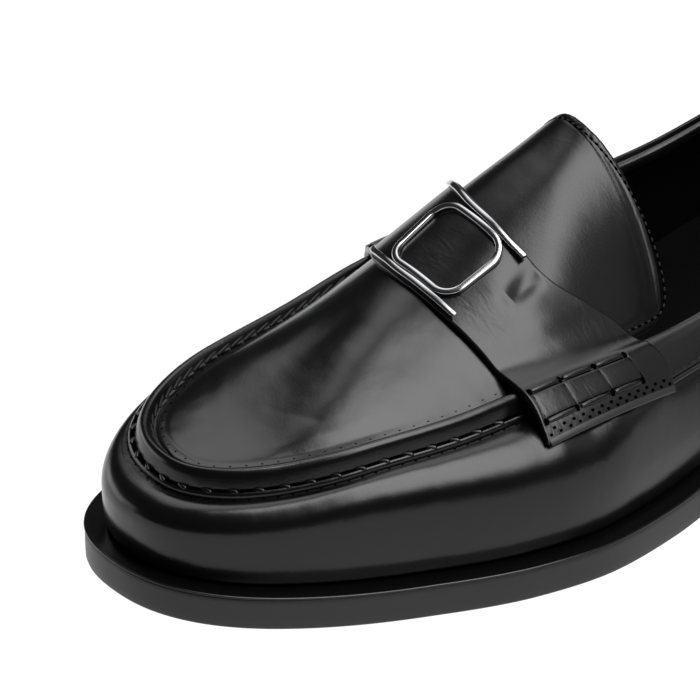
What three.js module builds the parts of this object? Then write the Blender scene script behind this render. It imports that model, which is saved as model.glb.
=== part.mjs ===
import * as THREE from 'three';

// A left moc-toe loafer with a saddle strap, standing empty on its sole.
// Millimetres, +Z up. The toe points to -X, the lateral (outer) side to -Y.
// The shapes are worked out with x = 0 at the toe and the whole shoe is then
// centred over its own footprint.

// Driving sizes of the sole
const length = 264;
const ballWidth = 97.2;
const soleThickness = 8.3;
const weltThickness = 1.5;
const weltWidth = 12;
const toeSpring = 7.5;
const heelRise = 15;
const liftThickness = 6;
const heelTaper = 1.2;
const seatTaper = 0.4;
const liftInset = 0.6;
const soleBevel = 0.8;
const insoleThickness = 3;

// Driving sizes of the upper
const wall = 1.8;
const rimFront = 5.5;
const rimHeel = 4;
const bulge = 3;
const seamHeight = 42;
const backHeight = 73;
const instepHeight = 80;
const crestSetback = 15;
const collarSetback = 12;
const ridgeHeight = 5.7;
const ridgeWidth = 3.7;
const throatShare = 0.39;
const crownExponent = 2.2;
const crownShift = 0.25;

// Driving sizes of the collar, tongue and strap
const bandDepth = 7.4;
const bandThickness = 1.1;
const throatFade = 5.4;
const tongueThickness = 1.8;
const tongueReach = 34;
const tongueSpan = 0.93;
const tongueCorner = 14;
const tongueFullness = 4;
const tongueDip = 2.5;
const tongueTip = 0.985;
const strapThickness = 1.7;
const strapDrop = 8.3;
const strapBow = 0.55;
const strapArch = 0.12;

// Driving sizes of the metal ornament
const railWidth = 1.5;
const railHeight = 1.2;
const railInset = 0.3;
const linkWire = 1.7;
const linkSpan = 22;
const linkCorner = 4.5;

// Where the rails end and where the link's middle lies, along the strap's girth
const railShare = { lateral: -0.38, medial: 0.61 };
const linkShare = 0.07;

// Clearances between neighbouring pieces
const gap = 0.3;
const strapClearance = 0.45;
const bandClearance = 0.4;

// How finely the curved pieces are cut
const frontColumns = 18;
const rearColumns = 24;
const lidSteps = 12;
const heelSteps = 12;
const tongueRows = 10;
const strapColumns = 6;
const railSteps = 12;
const cornerSteps = 4;
const railSides = 6;
const wireSides = 8;
const seekSteps = 6;

// The small steps over which a direction is measured: in turns and shares, and
// along the shoe
const slopeStep = 0.02;
const slopeLength = 1;

// The colours of the materials
const colours = {
  outsole: 0x2b2b2c,
  welt: 0x161616,
  heel: 0x252526,
  lift: 0x1d1d1e,
  insole: 0x151515,
  upper: 0x101011,
  trim: 0x121213,
  ornament: 0x8c8c90,
};

// Half widths of the sole's outline, as shares of half the ball width
const solePlan = [
  { at: 0.00, lateral: 0.76, medial: 0.79 },
  { at: 0.10, lateral: 0.79, medial: 0.82 },
  { at: 0.20, lateral: 0.885, medial: 0.885 },
  { at: 0.30, lateral: 1.04, medial: 0.95 },
  { at: 0.38, lateral: 1.085, medial: 0.95 },
  { at: 0.50, lateral: 0.97, medial: 0.80 },
  { at: 0.62, lateral: 0.85, medial: 0.65 },
  { at: 0.75, lateral: 0.73, medial: 0.63 },
  { at: 0.88, lateral: 0.70, medial: 0.67 },
  { at: 1.00, lateral: 0.70, medial: 0.68 },
];

// Round ends: reach as a share of the length, and fullness of the curve
const toeRound = { reach: 0.255, fullness: 2.3 };
const heelRound = { reach: 0.16, fullness: 2.2 };
const crestRound = { reach: 0.13, fullness: 2.2 };
const collarRound = { reach: 0.15, fullness: 2.2 };

// Where the toe spring ends, where the waist climbs to the heel and where the
// rim around the upper narrows
const springEnd = 0.30;
const waistStart = 0.45;
const heelStart = 0.74;
const rimFade = { from: 0.55, to: 0.85 };

// Sections of the upper's wall: overhang as a share of the bulge, height of the
// widest place as a share of the seam's height above the sole, and fullness
const wallSections = [
  { at: 0.00, lateral: 0.50, medial: 0.50, height: 0.30, lateralFull: 2.3, medialFull: 2.3 },
  { at: 0.15, lateral: 0.65, medial: 0.65, height: 0.30, lateralFull: 2.3, medialFull: 2.3 },
  { at: 0.35, lateral: 0.85, medial: 0.65, height: 0.33, lateralFull: 2.2, medialFull: 2.2 },
  { at: 0.48, lateral: 0.80, medial: 0.50, height: 0.35, lateralFull: 1.5, medialFull: 1.5 },
  { at: 0.65, lateral: 0.80, medial: 0.60, height: 0.40, lateralFull: 1.35, medialFull: 1.35 },
  { at: 0.85, lateral: 1.00, medial: 1.00, height: 0.48, lateralFull: 1.45, medialFull: 1.45 },
  { at: 1.00, lateral: 1.15, medial: 1.15, height: 0.54, lateralFull: 1.5, medialFull: 1.5 },
];

// Rows of the wall as shares of its curve: under the widest place, above it, and
// above it on the inside
const underRows = [0, 0.3, 0.65];
const outerRows = [0, 0.25, 0.45, 0.65, 0.82];
const innerRows = [0.6, 0.3, 0];

// The line of the raised seam, which runs on into the topline: half widths as
// shares of half the ball width, lifts as shares of the rise to the back
const crestPlan = [
  { at: 0.05, lateral: 0.40, medial: 0.53, lateralLift: -0.18, medialLift: -0.16 },
  { at: 0.12, lateral: 0.447, medial: 0.564, lateralLift: -0.16, medialLift: -0.14 },
  { at: 0.19, lateral: 0.545, medial: 0.597, lateralLift: -0.10, medialLift: -0.08 },
  { at: 0.27, lateral: 0.634, medial: 0.638, lateralLift: -0.065, medialLift: -0.03 },
  { at: 0.35, lateral: 0.674, medial: 0.679, lateralLift: -0.015, medialLift: 0.05 },
  { at: 0.43, lateral: 0.70, medial: 0.70, lateralLift: 0.0, medialLift: 0.085 },
  { at: 0.51, lateral: 0.697, medial: 0.679, lateralLift: 0.015, medialLift: 0.095 },
  { at: 0.59, lateral: 0.658, medial: 0.623, lateralLift: 0.08, medialLift: 0.16 },
  { at: 0.68, lateral: 0.603, medial: 0.57, lateralLift: 0.20, medialLift: 0.27 },
  { at: 0.80, lateral: 0.570, medial: 0.555, lateralLift: 0.44, medialLift: 0.49 },
  { at: 0.92, lateral: 0.545, medial: 0.54, lateralLift: 0.80, medialLift: 0.82 },
  { at: 1.00, lateral: 0.52, medial: 0.52, lateralLift: 1.0, medialLift: 1.0 },
];

// Height of the apron's crown above the seam, as a share of the instep's height
// above the seam
const crownRise = [
  { at: 0.05, rise: 0.0 },
  { at: 0.12, rise: 0.05 },
  { at: 0.19, rise: 0.13 },
  { at: 0.27, rise: 0.25 },
  { at: 0.33, rise: 0.37 },
  { at: 0.41, rise: 0.60 },
  { at: 0.47, rise: 0.77 },
  { at: 0.53, rise: 0.95 },
  { at: 0.58, rise: 1.0 },
];

// Section of the raised seam from the vamp over the lip and the crest to the
// apron (shares of the ridge's width and height), and what the same rows become
// along the collar (depth as a share of the band, then shares of recess and wall)
const ridgeSection = [
  { out: 1.00, down: 1.00, depth: 1.05, recess: 0, thick: 0 },
  { out: 0.78, down: 0.95, depth: 1.05, recess: 1, thick: 0 },
  { out: 0.66, down: 0.74, depth: 0.66, recess: 1, thick: 0 },
  { out: 0.38, down: 0.71, depth: 0.36, recess: 1, thick: 0 },
  { out: 0.22, down: 0.13, depth: 0.10, recess: 1, thick: 0 },
  { out: 0.00, down: 0.00, depth: 0.05, recess: 1, thick: 0.3 },
  { out: -0.38, down: 0.11, depth: 0.05, recess: 1, thick: 0.7 },
  { out: -0.65, down: 0.28, depth: 0.09, recess: 1, thick: 1 },
];
const ridgeFoot = ridgeSection[0];
const ridgeApron = ridgeSection[ridgeSection.length - 1];

// The inside of the ridge: its one row, and how far the inner face of the foot
// and of the apron's edge lies in and below the outer face, as shares of the wall
const ridgeUnder = { out: -0.05, down: 0.91, depth: 0.4, recess: 1, thick: 1 };
const footWithin = { inset: 0.8, drop: 0.9 };
const apronWithin = { inset: 0.1, drop: 1 };

// Section of the collar band, from its lower edge over the topline to the inside:
// inset as a share of its thickness, depth as a share of its depth
const bandSection = [
  { inset: 0, depth: 1 },
  { inset: 0, depth: 0.66 },
  { inset: 0, depth: 0.36 },
  { inset: 0, depth: 0.10 },
  { inset: 0.5, depth: 0.03 },
  { inset: 1, depth: 0.10 },
  { inset: 1, depth: 0.36 },
  { inset: 1, depth: 0.66 },
  { inset: 1, depth: 1 },
];

// Columns between the throat and the ends of the collar band, so that the band
// starts behind the strap
const bandDelay = 2;

// The strap's edges along its girth: -2 and 2 are its ends, -1 and 1 the seam,
// 0 the middle of the instep; front and rear are shares of the length
const strapPlan = [
  { at: -2.0, front: 0.326, rear: 0.463 },
  { at: -1.0, front: 0.329, rear: 0.457 },
  { at: -0.6, front: 0.324, rear: 0.414 },
  { at: -0.3, front: 0.320, rear: 0.404 },
  { at: 0.0, front: 0.319, rear: 0.404 },
  { at: 0.3, front: 0.320, rear: 0.408 },
  { at: 0.6, front: 0.330, rear: 0.424 },
  { at: 1.0, front: 0.370, rear: 0.462 },
  { at: 2.0, front: 0.388, rear: 0.480 },
];
const strapStations = [
  -2, -1.75, -1.5, -1.25, -1.08, -0.98, -0.86, -0.72, -0.58, -0.44, -0.3, -0.15, 0,
  0.15, 0.3, 0.44, 0.58, 0.72, 0.86, 0.98, 1.08, 1.25, 1.5, 1.75, 2,
];

// The girth at which the strap leaves the apron for the seam
const seamGirth = 0.95;

// Shape helpers

function clamp(value, low, high) {
  return Math.min(Math.max(value, low), high);
}

function ease(from, to, value) {
  const part = clamp((value - from) / (to - from), 0, 1);
  return part * part * (3 - 2 * part);
}

function mix(a, b, part) {
  return a + (b - a) * part;
}

// A smooth curve through one column of a table
function along(table, column, where) {
  const last = table.length - 1;
  let i = 0;
  while (i < last - 1 && where > table[i + 1].at) {
    i += 1;
  }
  const slope = (k) => {
    const before = table[Math.max(k - 1, 0)];
    const after = table[Math.min(k + 1, last)];
    return (after[column] - before[column]) / (after.at - before.at);
  };
  const a = table[i];
  const b = table[i + 1];
  const span = b.at - a.at;
  const u = clamp((where - a.at) / span, 0, 1);
  const u2 = u * u;
  const u3 = u2 * u;
  return (2 * u3 - 3 * u2 + 1) * a[column] + (u3 - 2 * u2 + u) * span * slope(i)
    + (3 * u2 - 2 * u3) * b[column] + (u3 - u2) * span * slope(i + 1);
}

// From 0 at the very end to 1 where the reach is over
function roundEnd(distance, end) {
  const part = clamp(distance / (end.reach * length), 0, 1);
  return Math.pow(1 - Math.pow(1 - part, end.fullness), 1 / end.fullness);
}

function sideOf(turn) {
  return Math.sin(turn) >= 0 ? 'lateral' : 'medial';
}

function signOf(side) {
  return side === 'lateral' ? -1 : 1;
}

function advance(turn) {
  return (1 - Math.cos(turn)) / 2;
}

// The sole's outline and heights

function soleHalf(x, side, inset) {
  const share = x / length;
  const half = along(solePlan, side, share) * ballWidth / 2 - inset;
  return half * roundEnd(x - inset, toeRound) * roundEnd(length - inset - x, heelRound);
}

function soleEdge(turn, inset) {
  const x = mix(inset, length - inset, advance(turn));
  const side = sideOf(turn);
  return { x, y: signOf(side) * soleHalf(x, side, inset) };
}

function soleBottom(x) {
  const share = x / length;
  const lift = clamp((springEnd - share) / springEnd, 0, 1);
  return toeSpring * lift * lift + heelRise * ease(waistStart, heelStart, share);
}

function soleTop(x) {
  return soleBottom(x) + soleThickness;
}

// Inward direction, across the sole's outline, at one turn
function inward(turn) {
  const a = soleEdge(turn - slopeStep, 0);
  const b = soleEdge(turn + slopeStep, 0);
  const size = Math.hypot(b.x - a.x, b.y - a.y);
  return { x: -(b.y - a.y) / size, y: (b.x - a.x) / size };
}

// The line where the upper meets the sole, moved in by some distance
function featherEdge(turn, inset) {
  const edge = soleEdge(turn, 0);
  const rim = mix(rimFront, rimHeel, ease(rimFade.from, rimFade.to, edge.x / length)) + inset;
  const n = inward(turn);
  return { x: edge.x + rim * n.x, y: edge.y + rim * n.y };
}

// The seam's crest and the topline

function crestHeight(x, across) {
  const share = x / length;
  const low = along(crestPlan, 'lateralLift', share);
  const high = along(crestPlan, 'medialLift', share);
  return seamHeight + (backHeight - seamHeight) * mix(low, high, (1 + across) / 2);
}

function crestAt(x, side, inset, drop) {
  const front = crestSetback + inset;
  const back = length - collarSetback - inset;
  const round = roundEnd(x - front, crestRound) * roundEnd(back - x, collarRound);
  const half = (along(crestPlan, side, x / length) * ballWidth / 2 - inset) * round;
  const sign = signOf(side);
  return new THREE.Vector3(x, sign * half, crestHeight(x, sign * round) - drop);
}

function crestPoint(turn, inset, drop) {
  const front = crestSetback + inset;
  const back = length - collarSetback - inset;
  return crestAt(mix(front, back, advance(turn)), sideOf(turn), inset, drop);
}

// How far the seam's ridge has changed into the collar's plain edge
const throatX = throatShare * length;
const crestLength = length - crestSetback - collarSetback;

function collarPart(x) {
  return ease(throatX, throatX + throatFade, x);
}

// The wall: widest place above the sole and the curve up from it

function wallBase(turn, inset) {
  const edge = featherEdge(turn, inset);
  const n = inward(turn);
  const side = sideOf(turn);
  const share = edge.x / length;
  const over = along(wallSections, side, share) * bulge;
  const rise = along(wallSections, 'height', share) * (seamHeight - soleThickness);
  return {
    edge, n, over, rise,
    full: along(wallSections, side + 'Full', share),
    floor: soleTop(edge.x) + gap,
  };
}

// part 0 is the widest place and 1 the upper end of the curve
function wallCurve(base, end, part) {
  const angle = part * Math.PI / 2;
  const inwards = 1 - Math.pow(Math.max(Math.cos(angle), 0), 2 / base.full);
  const upwards = Math.pow(Math.sin(angle), 2 / base.full);
  const x = base.edge.x - base.over * base.n.x;
  const y = base.edge.y - base.over * base.n.y;
  const z = base.floor + base.rise;
  return new THREE.Vector3(mix(x, end.x, inwards), mix(y, end.y, inwards), mix(z, end.z, upwards));
}

// The same curve at one height
function wallAtHeight(base, end, z) {
  const low = base.floor + base.rise;
  const up = clamp((z - low) / (end.z - low), 0, 1);
  const part = Math.asin(Math.pow(up, base.full / 2)) * 2 / Math.PI;
  return wallCurve(base, end, part);
}

const recess = bandThickness + bandClearance;

// A point of the collar's side, in from the nominal surface and below the topline
function collarPoint(turn, inset, depth) {
  const base = wallBase(turn, 0);
  const top = crestPoint(turn, 0, 0);
  const point = wallAtHeight(base, top, top.z - depth);
  return point.add(new THREE.Vector3(base.n.x * inset, base.n.y * inset, 0));
}

// One row of the ridge or, past the throat, of the collar
function ridgePoint(turn, row, inset, drop) {
  const collar = collarPart(crestPoint(turn, 0, 0).x);
  const seam = crestPoint(turn, inset - row.out * ridgeWidth, row.down * ridgeHeight + drop);
  if (collar === 0) {
    return seam;
  }
  const edge = collarPoint(turn, row.recess * recess + row.thick * wall + inset,
    row.depth * bandDepth + drop);
  return seam.lerp(edge, collar);
}

// One row of the wall between its widest place and the foot of the ridge
function wallPoint(turn, part, inset) {
  const base = wallBase(turn, inset);
  const foot = ridgePoint(turn, ridgeFoot, inset * footWithin.inset, inset * footWithin.drop);
  const collar = collarPart(crestPoint(turn, 0, 0).x);
  const seam = wallCurve(base, foot, part);
  if (collar === 0) {
    return seam;
  }
  const top = crestPoint(turn, inset, 0);
  const low = base.floor + base.rise;
  const plain = wallAtHeight(base, top, mix(low, foot.z, part));
  return seam.lerp(plain, collar);
}

// The apron and the tongue: across runs from -1 (lateral) to 1 (medial)

function crownHeight(x) {
  return along(crownRise, 'rise', x / length) * (instepHeight - seamHeight);
}

const apronInset = -ridgeApron.out * ridgeWidth;
const apronDrop = ridgeApron.down * ridgeHeight;

function lidPoint(x, across) {
  const lateral = crestAt(x, 'lateral', apronInset, apronDrop);
  const medial = crestAt(x, 'medial', apronInset, apronDrop);
  const point = lateral.lerp(medial, (1 + across) / 2);
  const offset = across - crownShift;
  const off = Math.abs(offset) / (1 + (offset < 0 ? crownShift : -crownShift));
  point.z += crownHeight(x) * (1 - Math.pow(Math.min(off, 1), crownExponent));
  return point;
}

// The same surface lifted (or, when negative, sunk) along its own normal
function lidLifted(x, across, lift) {
  const safe = clamp(across, -1 + slopeStep, 1 - slopeStep);
  const point = lidPoint(x, across);
  const ahead = lidPoint(x + slopeLength, safe).sub(lidPoint(x - slopeLength, safe));
  const over = lidPoint(x, safe + slopeStep).sub(lidPoint(x, safe - slopeStep));
  return point.add(ahead.cross(over).normalize().multiplyScalar(lift));
}

// Mesh helpers: a body is a list of points and triangles

function newBody() {
  return { points: [], faces: [] };
}

function addRow(body, points) {
  return points.map((point) => body.points.push(point) - 1);
}

// Two triangles for each step of two rows; closed rows join up at their ends
function band(body, a, b, closed) {
  const steps = closed ? a.length : a.length - 1;
  for (let i = 0; i < steps; i += 1) {
    const k = (i + 1) % a.length;
    body.faces.push([a[i], a[k], b[k]], [a[i], b[k], b[i]]);
  }
}

// Fills a ring by strips between its two sides, over the given steps of one side
function fillAcross(body, ring, steps, opposite, up) {
  for (let i = 0; i < steps; i += 1) {
    const a = ring[i];
    const b = ring[i + 1];
    const c = ring[opposite(i + 1)];
    const d = ring[opposite(i)];
    for (const face of [[a, b, c], [a, c, d]]) {
      if (new Set(face).size === 3) {
        body.faces.push(up ? face : face.reverse());
      }
    }
  }
}

// A whole ring, which starts at the toe
function crossCap(body, ring, up) {
  fillAcross(body, ring, ring.length / 2, (i) => (ring.length - i) % ring.length, up);
}

function signedVolume(body) {
  let sum = 0;
  for (const [i, j, k] of body.faces) {
    const a = body.points[i];
    const b = body.points[j];
    const c = body.points[k];
    sum += a.dot(b.clone().cross(c)) / 6;
  }
  return sum;
}

function meshOf(name, body, material) {
  const turned = signedVolume(body) < 0;
  const index = body.faces.flatMap(([i, j, k]) => (turned ? [i, k, j] : [i, j, k]));
  const geometry = new THREE.BufferGeometry();
  const numbers = body.points.flatMap((point) => [point.x, point.y, point.z]);
  geometry.setAttribute('position', new THREE.Float32BufferAttribute(numbers, 3));
  geometry.setIndex(index);
  geometry.computeVertexNormals();
  const mesh = new THREE.Mesh(geometry, material);
  mesh.name = name;
  return mesh;
}

// The columns of every ring: from the toe round the lateral side, the heel and
// the medial side, with one column on each side right at the throat
const columns = 2 * (frontColumns + rearColumns);
const throatTurn = Math.acos(1 - 2 * (throatX - crestSetback) / crestLength);

function turnOf(column) {
  const half = columns / 2;
  if (column > half) {
    return 2 * Math.PI - turnOf(columns - column);
  }
  if (column <= frontColumns) {
    return throatTurn * column / frontColumns;
  }
  return mix(throatTurn, Math.PI, (column - frontColumns) / rearColumns);
}

// Where the apron's rear edge lies
const apronEnd = crestPoint(throatTurn, apronInset, 0).x;

function turns() {
  return Array.from({ length: columns }, (_, column) => turnOf(column));
}

function ringOf(place) {
  return turns().map((turn) => place(turn));
}

// Materials, as the photograph shows them

function leather(colour, roughness) {
  return new THREE.MeshStandardMaterial({ color: colour, roughness, metalness: 0 });
}

function rubber(colour) {
  return new THREE.MeshStandardMaterial({ color: colour, roughness: 0.6, metalness: 0 });
}

function metal(colour) {
  return new THREE.MeshStandardMaterial({ color: colour, roughness: 0.2, metalness: 1 });
}

// Outsole: bevelled edge, upright side, and a raised middle inside the welt
function outsole() {
  const body = newBody();
  const weltFoot = soleThickness - weltThickness - gap;
  const middle = weltWidth + 2 * gap;
  const row = (inset, height) => addRow(body, ringOf((turn) => {
    const { x, y } = soleEdge(turn, inset);
    return new THREE.Vector3(x, y, soleBottom(x) + height);
  }));
  const rows = [
    row(soleBevel, 0),
    row(0, soleBevel),
    row(0, weltFoot),
    row(middle, weltFoot),
    row(middle, soleThickness),
  ];
  for (let i = 1; i < rows.length; i += 1) {
    band(body, rows[i - 1], rows[i], true);
  }
  crossCap(body, rows[0], false);
  crossCap(body, rows[rows.length - 1], true);
  return meshOf('outsole', body, rubber(colours.outsole));
}

// Welt: the flat strip around the shoe on which the upper stands
function welt() {
  const body = newBody();
  const row = (inset, height) => addRow(body, ringOf((turn) => {
    const { x, y } = soleEdge(turn, inset);
    return new THREE.Vector3(x, y, soleTop(x) + height);
  }));
  const rows = [
    row(0, -weltThickness),
    row(0, 0),
    row(weltWidth, 0),
    row(weltWidth, -weltThickness),
  ];
  for (let i = 0; i < rows.length; i += 1) {
    band(body, rows[i], rows[(i + 1) % rows.length], true);
  }
  return meshOf('welt', body, rubber(colours.welt));
}

// A ring around the heel's seat that closes with a straight breast
function heelRing(inset) {
  const start = heelStart * length;
  const back = length - inset;
  const lateral = [];
  const medial = [];
  for (let i = 0; i <= heelSteps; i += 1) {
    const x = mix(start, back, Math.sin(i / heelSteps * Math.PI / 2));
    lateral.push({ x, y: -soleHalf(x, 'lateral', inset) });
    medial.unshift({ x, y: soleHalf(x, 'medial', inset) });
  }
  medial.shift();
  return [...lateral, ...medial];
}

function heelPiece(name, levels, material) {
  const body = newBody();
  const rows = levels.map(({ inset, height }) => addRow(body, heelRing(inset).map(
    ({ x, y }) => new THREE.Vector3(x, y, height(x)),
  )));
  for (let i = 1; i < rows.length; i += 1) {
    band(body, rows[i - 1], rows[i], true);
  }
  const opposite = (i) => 2 * heelSteps - i;
  fillAcross(body, rows[0], heelSteps, opposite, false);
  fillAcross(body, rows[rows.length - 1], heelSteps, opposite, true);
  return meshOf(name, body, material);
}

function heelBlock() {
  return heelPiece('heel_block', [
    { inset: heelTaper, height: () => liftThickness + gap },
    { inset: seatTaper, height: (x) => soleBottom(x) - gap },
  ], rubber(colours.heel));
}

function topLift() {
  return heelPiece('top_lift', [
    { inset: heelTaper + liftInset, height: () => 0 },
    { inset: heelTaper, height: () => liftInset },
    { inset: heelTaper, height: () => liftThickness },
  ], rubber(colours.lift));
}

// Insole: fills the floor of the upper
function insole() {
  const body = newBody();
  const row = (height) => addRow(body, ringOf((turn) => {
    const { x, y } = featherEdge(turn, wall + gap);
    return new THREE.Vector3(x, y, soleTop(x) + height);
  }));
  const low = row(gap);
  const high = row(gap + insoleThickness);
  band(body, low, high, true);
  crossCap(body, low, false);
  crossCap(body, high, true);
  return meshOf('insole', body, leather(colours.insole, 0.6));
}

// Upper: one hollow shell, open at the throat and collar and underneath
function upper() {
  const body = newBody();
  const outer = [];
  const inner = [];
  const ring = (place) => addRow(body, ringOf(place));
  const lowerRow = (inset, part) => (turn) => {
    const base = wallBase(turn, inset);
    const out = base.over * Math.sin(part * Math.PI / 2);
    const up = base.rise * (1 - Math.cos(part * Math.PI / 2));
    const x = base.edge.x - out * base.n.x;
    const y = base.edge.y - out * base.n.y;
    return new THREE.Vector3(x, y, base.floor + up);
  };
  for (const part of underRows) {
    outer.push(ring(lowerRow(0, part)));
  }
  for (const part of outerRows) {
    outer.push(ring((turn) => wallPoint(turn, part, 0)));
  }
  for (const row of ridgeSection) {
    outer.push(ring((turn) => ridgePoint(turn, row, 0, 0)));
  }
  inner.push(ring((turn) => (
    ridgePoint(turn, ridgeApron, wall * apronWithin.inset, wall * apronWithin.drop)
  )));
  inner.push(ring((turn) => ridgePoint(turn, ridgeUnder, 0, 0)));
  inner.push(ring((turn) => wallPoint(turn, 1, wall)));
  for (const part of innerRows) {
    inner.push(ring((turn) => wallPoint(turn, part, wall)));
  }
  inner.push(ring(lowerRow(wall, 0)));

  const shell = [...outer, ...inner];
  for (let i = 1; i < shell.length; i += 1) {
    if (i !== outer.length) {
      band(body, shell[i - 1], shell[i], true);
    }
  }
  band(body, shell[shell.length - 1], shell[0], true);

  // The apron's two faces, from line to line, as far as the throat
  const topRow = outer[outer.length - 1];
  const lowRow = inner[0];
  const line = (row, i, lift) => {
    const lateral = body.points[row[i]];
    const between = [];
    for (let k = 1; k < lidSteps; k += 1) {
      between.push(lidLifted(lateral.x, 2 * k / lidSteps - 1, lift));
    }
    return [row[i], ...addRow(body, between), row[columns - i]];
  };
  let overLine = new Array(lidSteps + 1).fill(topRow[0]);
  let underLine = new Array(lidSteps + 1).fill(lowRow[0]);
  for (let i = 1; i <= frontColumns; i += 1) {
    const nextOver = line(topRow, i, 0);
    const nextUnder = line(lowRow, i, -wall);
    band(body, nextOver, overLine, false);
    band(body, underLine, nextUnder, false);
    overLine = nextOver;
    underLine = nextUnder;
  }
  band(body, underLine, overLine, false);

  // The collar's top edge, round the heel from one side of the throat to the other
  const collar = (row) => row.slice(frontColumns, columns - frontColumns + 1);
  band(body, collar(topRow), collar(lowRow), false);
  body.faces = body.faces.filter((face) => new Set(face).size === 3);
  return meshOf('upper', body, leather(colours.upper, 0.25));
}

// A slab between two grids of points: top rows and bottom rows
function slab(body, top, bottom) {
  const over = top.map((points) => addRow(body, points));
  const below = bottom.map((points) => addRow(body, points));
  const last = over.length - 1;
  for (let i = 1; i <= last; i += 1) {
    band(body, over[i], over[i - 1], false);
    band(body, below[i - 1], below[i], false);
    const end = over[i].length - 1;
    body.faces.push([over[i][0], over[i - 1][0], below[i - 1][0]]);
    body.faces.push([over[i][0], below[i - 1][0], below[i][0]]);
    body.faces.push([over[i - 1][end], over[i][end], below[i][end]]);
    body.faces.push([over[i - 1][end], below[i][end], below[i - 1][end]]);
  }
  band(body, over[0], below[0], false);
  band(body, below[last], over[last], false);
}

// Tongue: carries the apron's surface on to a rounded free end
function tongue() {
  const body = newBody();
  const start = apronEnd + 2 * gap;
  const top = [];
  const bottom = [];
  for (let i = 0; i <= tongueRows; i += 1) {
    const away = tongueReach * (1 - Math.sin(i / tongueRows * Math.PI / 2 * tongueTip));
    const part = clamp(away / tongueCorner, 0, 1);
    const round = Math.pow(1 - Math.pow(1 - part, tongueFullness), 1 / tongueFullness);
    const span = tongueSpan * round;
    const x = start + tongueReach - away;
    const over = [];
    const below = [];
    for (let k = 0; k <= lidSteps; k += 1) {
      const across = span * (2 * k / lidSteps - 1);
      const dip = tongueDip * (1 - across * across) * ease(0, tongueReach, x - start);
      over.push(lidLifted(x - dip, across, 0));
      below.push(lidLifted(x - dip, across, -tongueThickness));
    }
    top.push(over);
    bottom.push(below);
  }
  slab(body, top, bottom);
  return meshOf('tongue', body, leather(colours.upper, 0.3));
}

// Where the strap ends on the side, its drop below the crest, at one x
function strapEnd(x, side) {
  let progress = (x - crestSetback) / crestLength;
  let point = crestAt(x, side, 0, strapDrop);
  for (let i = 0; i < seekSteps; i += 1) {
    const angle = Math.acos(clamp(1 - 2 * progress, -1, 1));
    const turn = side === 'lateral' ? angle : 2 * Math.PI - angle;
    const base = wallBase(turn, 0);
    const height = crestPoint(turn, 0, strapDrop).z;
    const seam = wallAtHeight(base, crestPoint(turn, -ridgeWidth, ridgeHeight), height);
    const plain = wallAtHeight(base, crestPoint(turn, 0, 0), height);
    point = seam.lerp(plain, collarPart(x));
    progress += (x - point.x) / crestLength;
  }
  return point;
}

// A point of the smooth surface that the strap lies on: girth -1 to 1 is the
// apron, and past that the strap hangs down the side by shares of its drop.
// The strap's end is arched, so it hangs a little less at the middle of its width
function girthPoint(x, girth, share) {
  if (Math.abs(girth) < seamGirth) {
    return lidPoint(x, girth);
  }
  const side = girth < 0 ? 'lateral' : 'medial';
  const crest = crestAt(x, side, 0, 0);
  const hang = 1 - strapArch * Math.sin(Math.PI * share);
  const part = Math.max(Math.abs(girth) - 1, 0) * hang;
  const end = strapEnd(x, side);
  const y = mix(crest.y, end.y, Math.pow(part, strapBow));
  return new THREE.Vector3(x, y, mix(crest.z, end.z, part));
}

// Saddle strap: lies over the apron and the seam and ends on both sides
function saddleStrap() {
  const body = newBody();
  const grid = strapStations.map((girth) => {
    const front = along(strapPlan, 'front', girth) * length;
    const rear = along(strapPlan, 'rear', girth) * length;
    return Array.from({ length: strapColumns + 1 }, (_, k) => {
      const share = k / strapColumns;
      return girthPoint(mix(front, rear, share), girth, share);
    });
  });
  const raised = (i, k, lift) => {
    const before = grid[Math.max(i - 1, 0)][k];
    const after = grid[Math.min(i + 1, grid.length - 1)][k];
    const front = grid[i][Math.max(k - 1, 0)];
    const rear = grid[i][Math.min(k + 1, strapColumns)];
    const normal = rear.clone().sub(front).cross(after.clone().sub(before)).normalize();
    return grid[i][k].clone().add(normal.multiplyScalar(lift));
  };
  const sheet = (lift) => grid.map((row, i) => row.map((_, k) => raised(i, k, lift)));
  const over = sheet(strapClearance + strapThickness);
  slab(body, over, sheet(strapClearance));
  return meshOf('saddle_strap', body, leather(colours.upper, 0.25));
}

// A round-cornered bar swept along points, with its own up directions
function sweep(body, path, closed) {
  const sides = path[0].length;
  const rows = path.map((points) => addRow(body, points));
  const steps = closed ? rows.length : rows.length - 1;
  for (let i = 0; i < steps; i += 1) {
    band(body, rows[i], rows[(i + 1) % rows.length], true);
  }
  if (!closed) {
    for (let k = 1; k < sides - 1; k += 1) {
      const last = rows[rows.length - 1];
      body.faces.push([rows[0][0], rows[0][k + 1], rows[0][k]], [last[0], last[k], last[k + 1]]);
    }
  }
}

const strapFace = strapClearance + strapThickness;

// A section of a bar that stands on the strap, square to its run
function barSection(point, ahead, up, width, height, sides) {
  const across = ahead.clone().cross(up).normalize();
  return Array.from({ length: sides }, (_, k) => {
    const angle = (k + 0.5) * 2 * Math.PI / sides;
    return point.clone()
      .add(across.clone().multiplyScalar(Math.cos(angle) * width / 2))
      .add(up.clone().multiplyScalar(Math.sin(angle) * height / 2));
  });
}

function strapUp(x, across) {
  return lidLifted(x, across, 1).sub(lidPoint(x, across));
}

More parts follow.
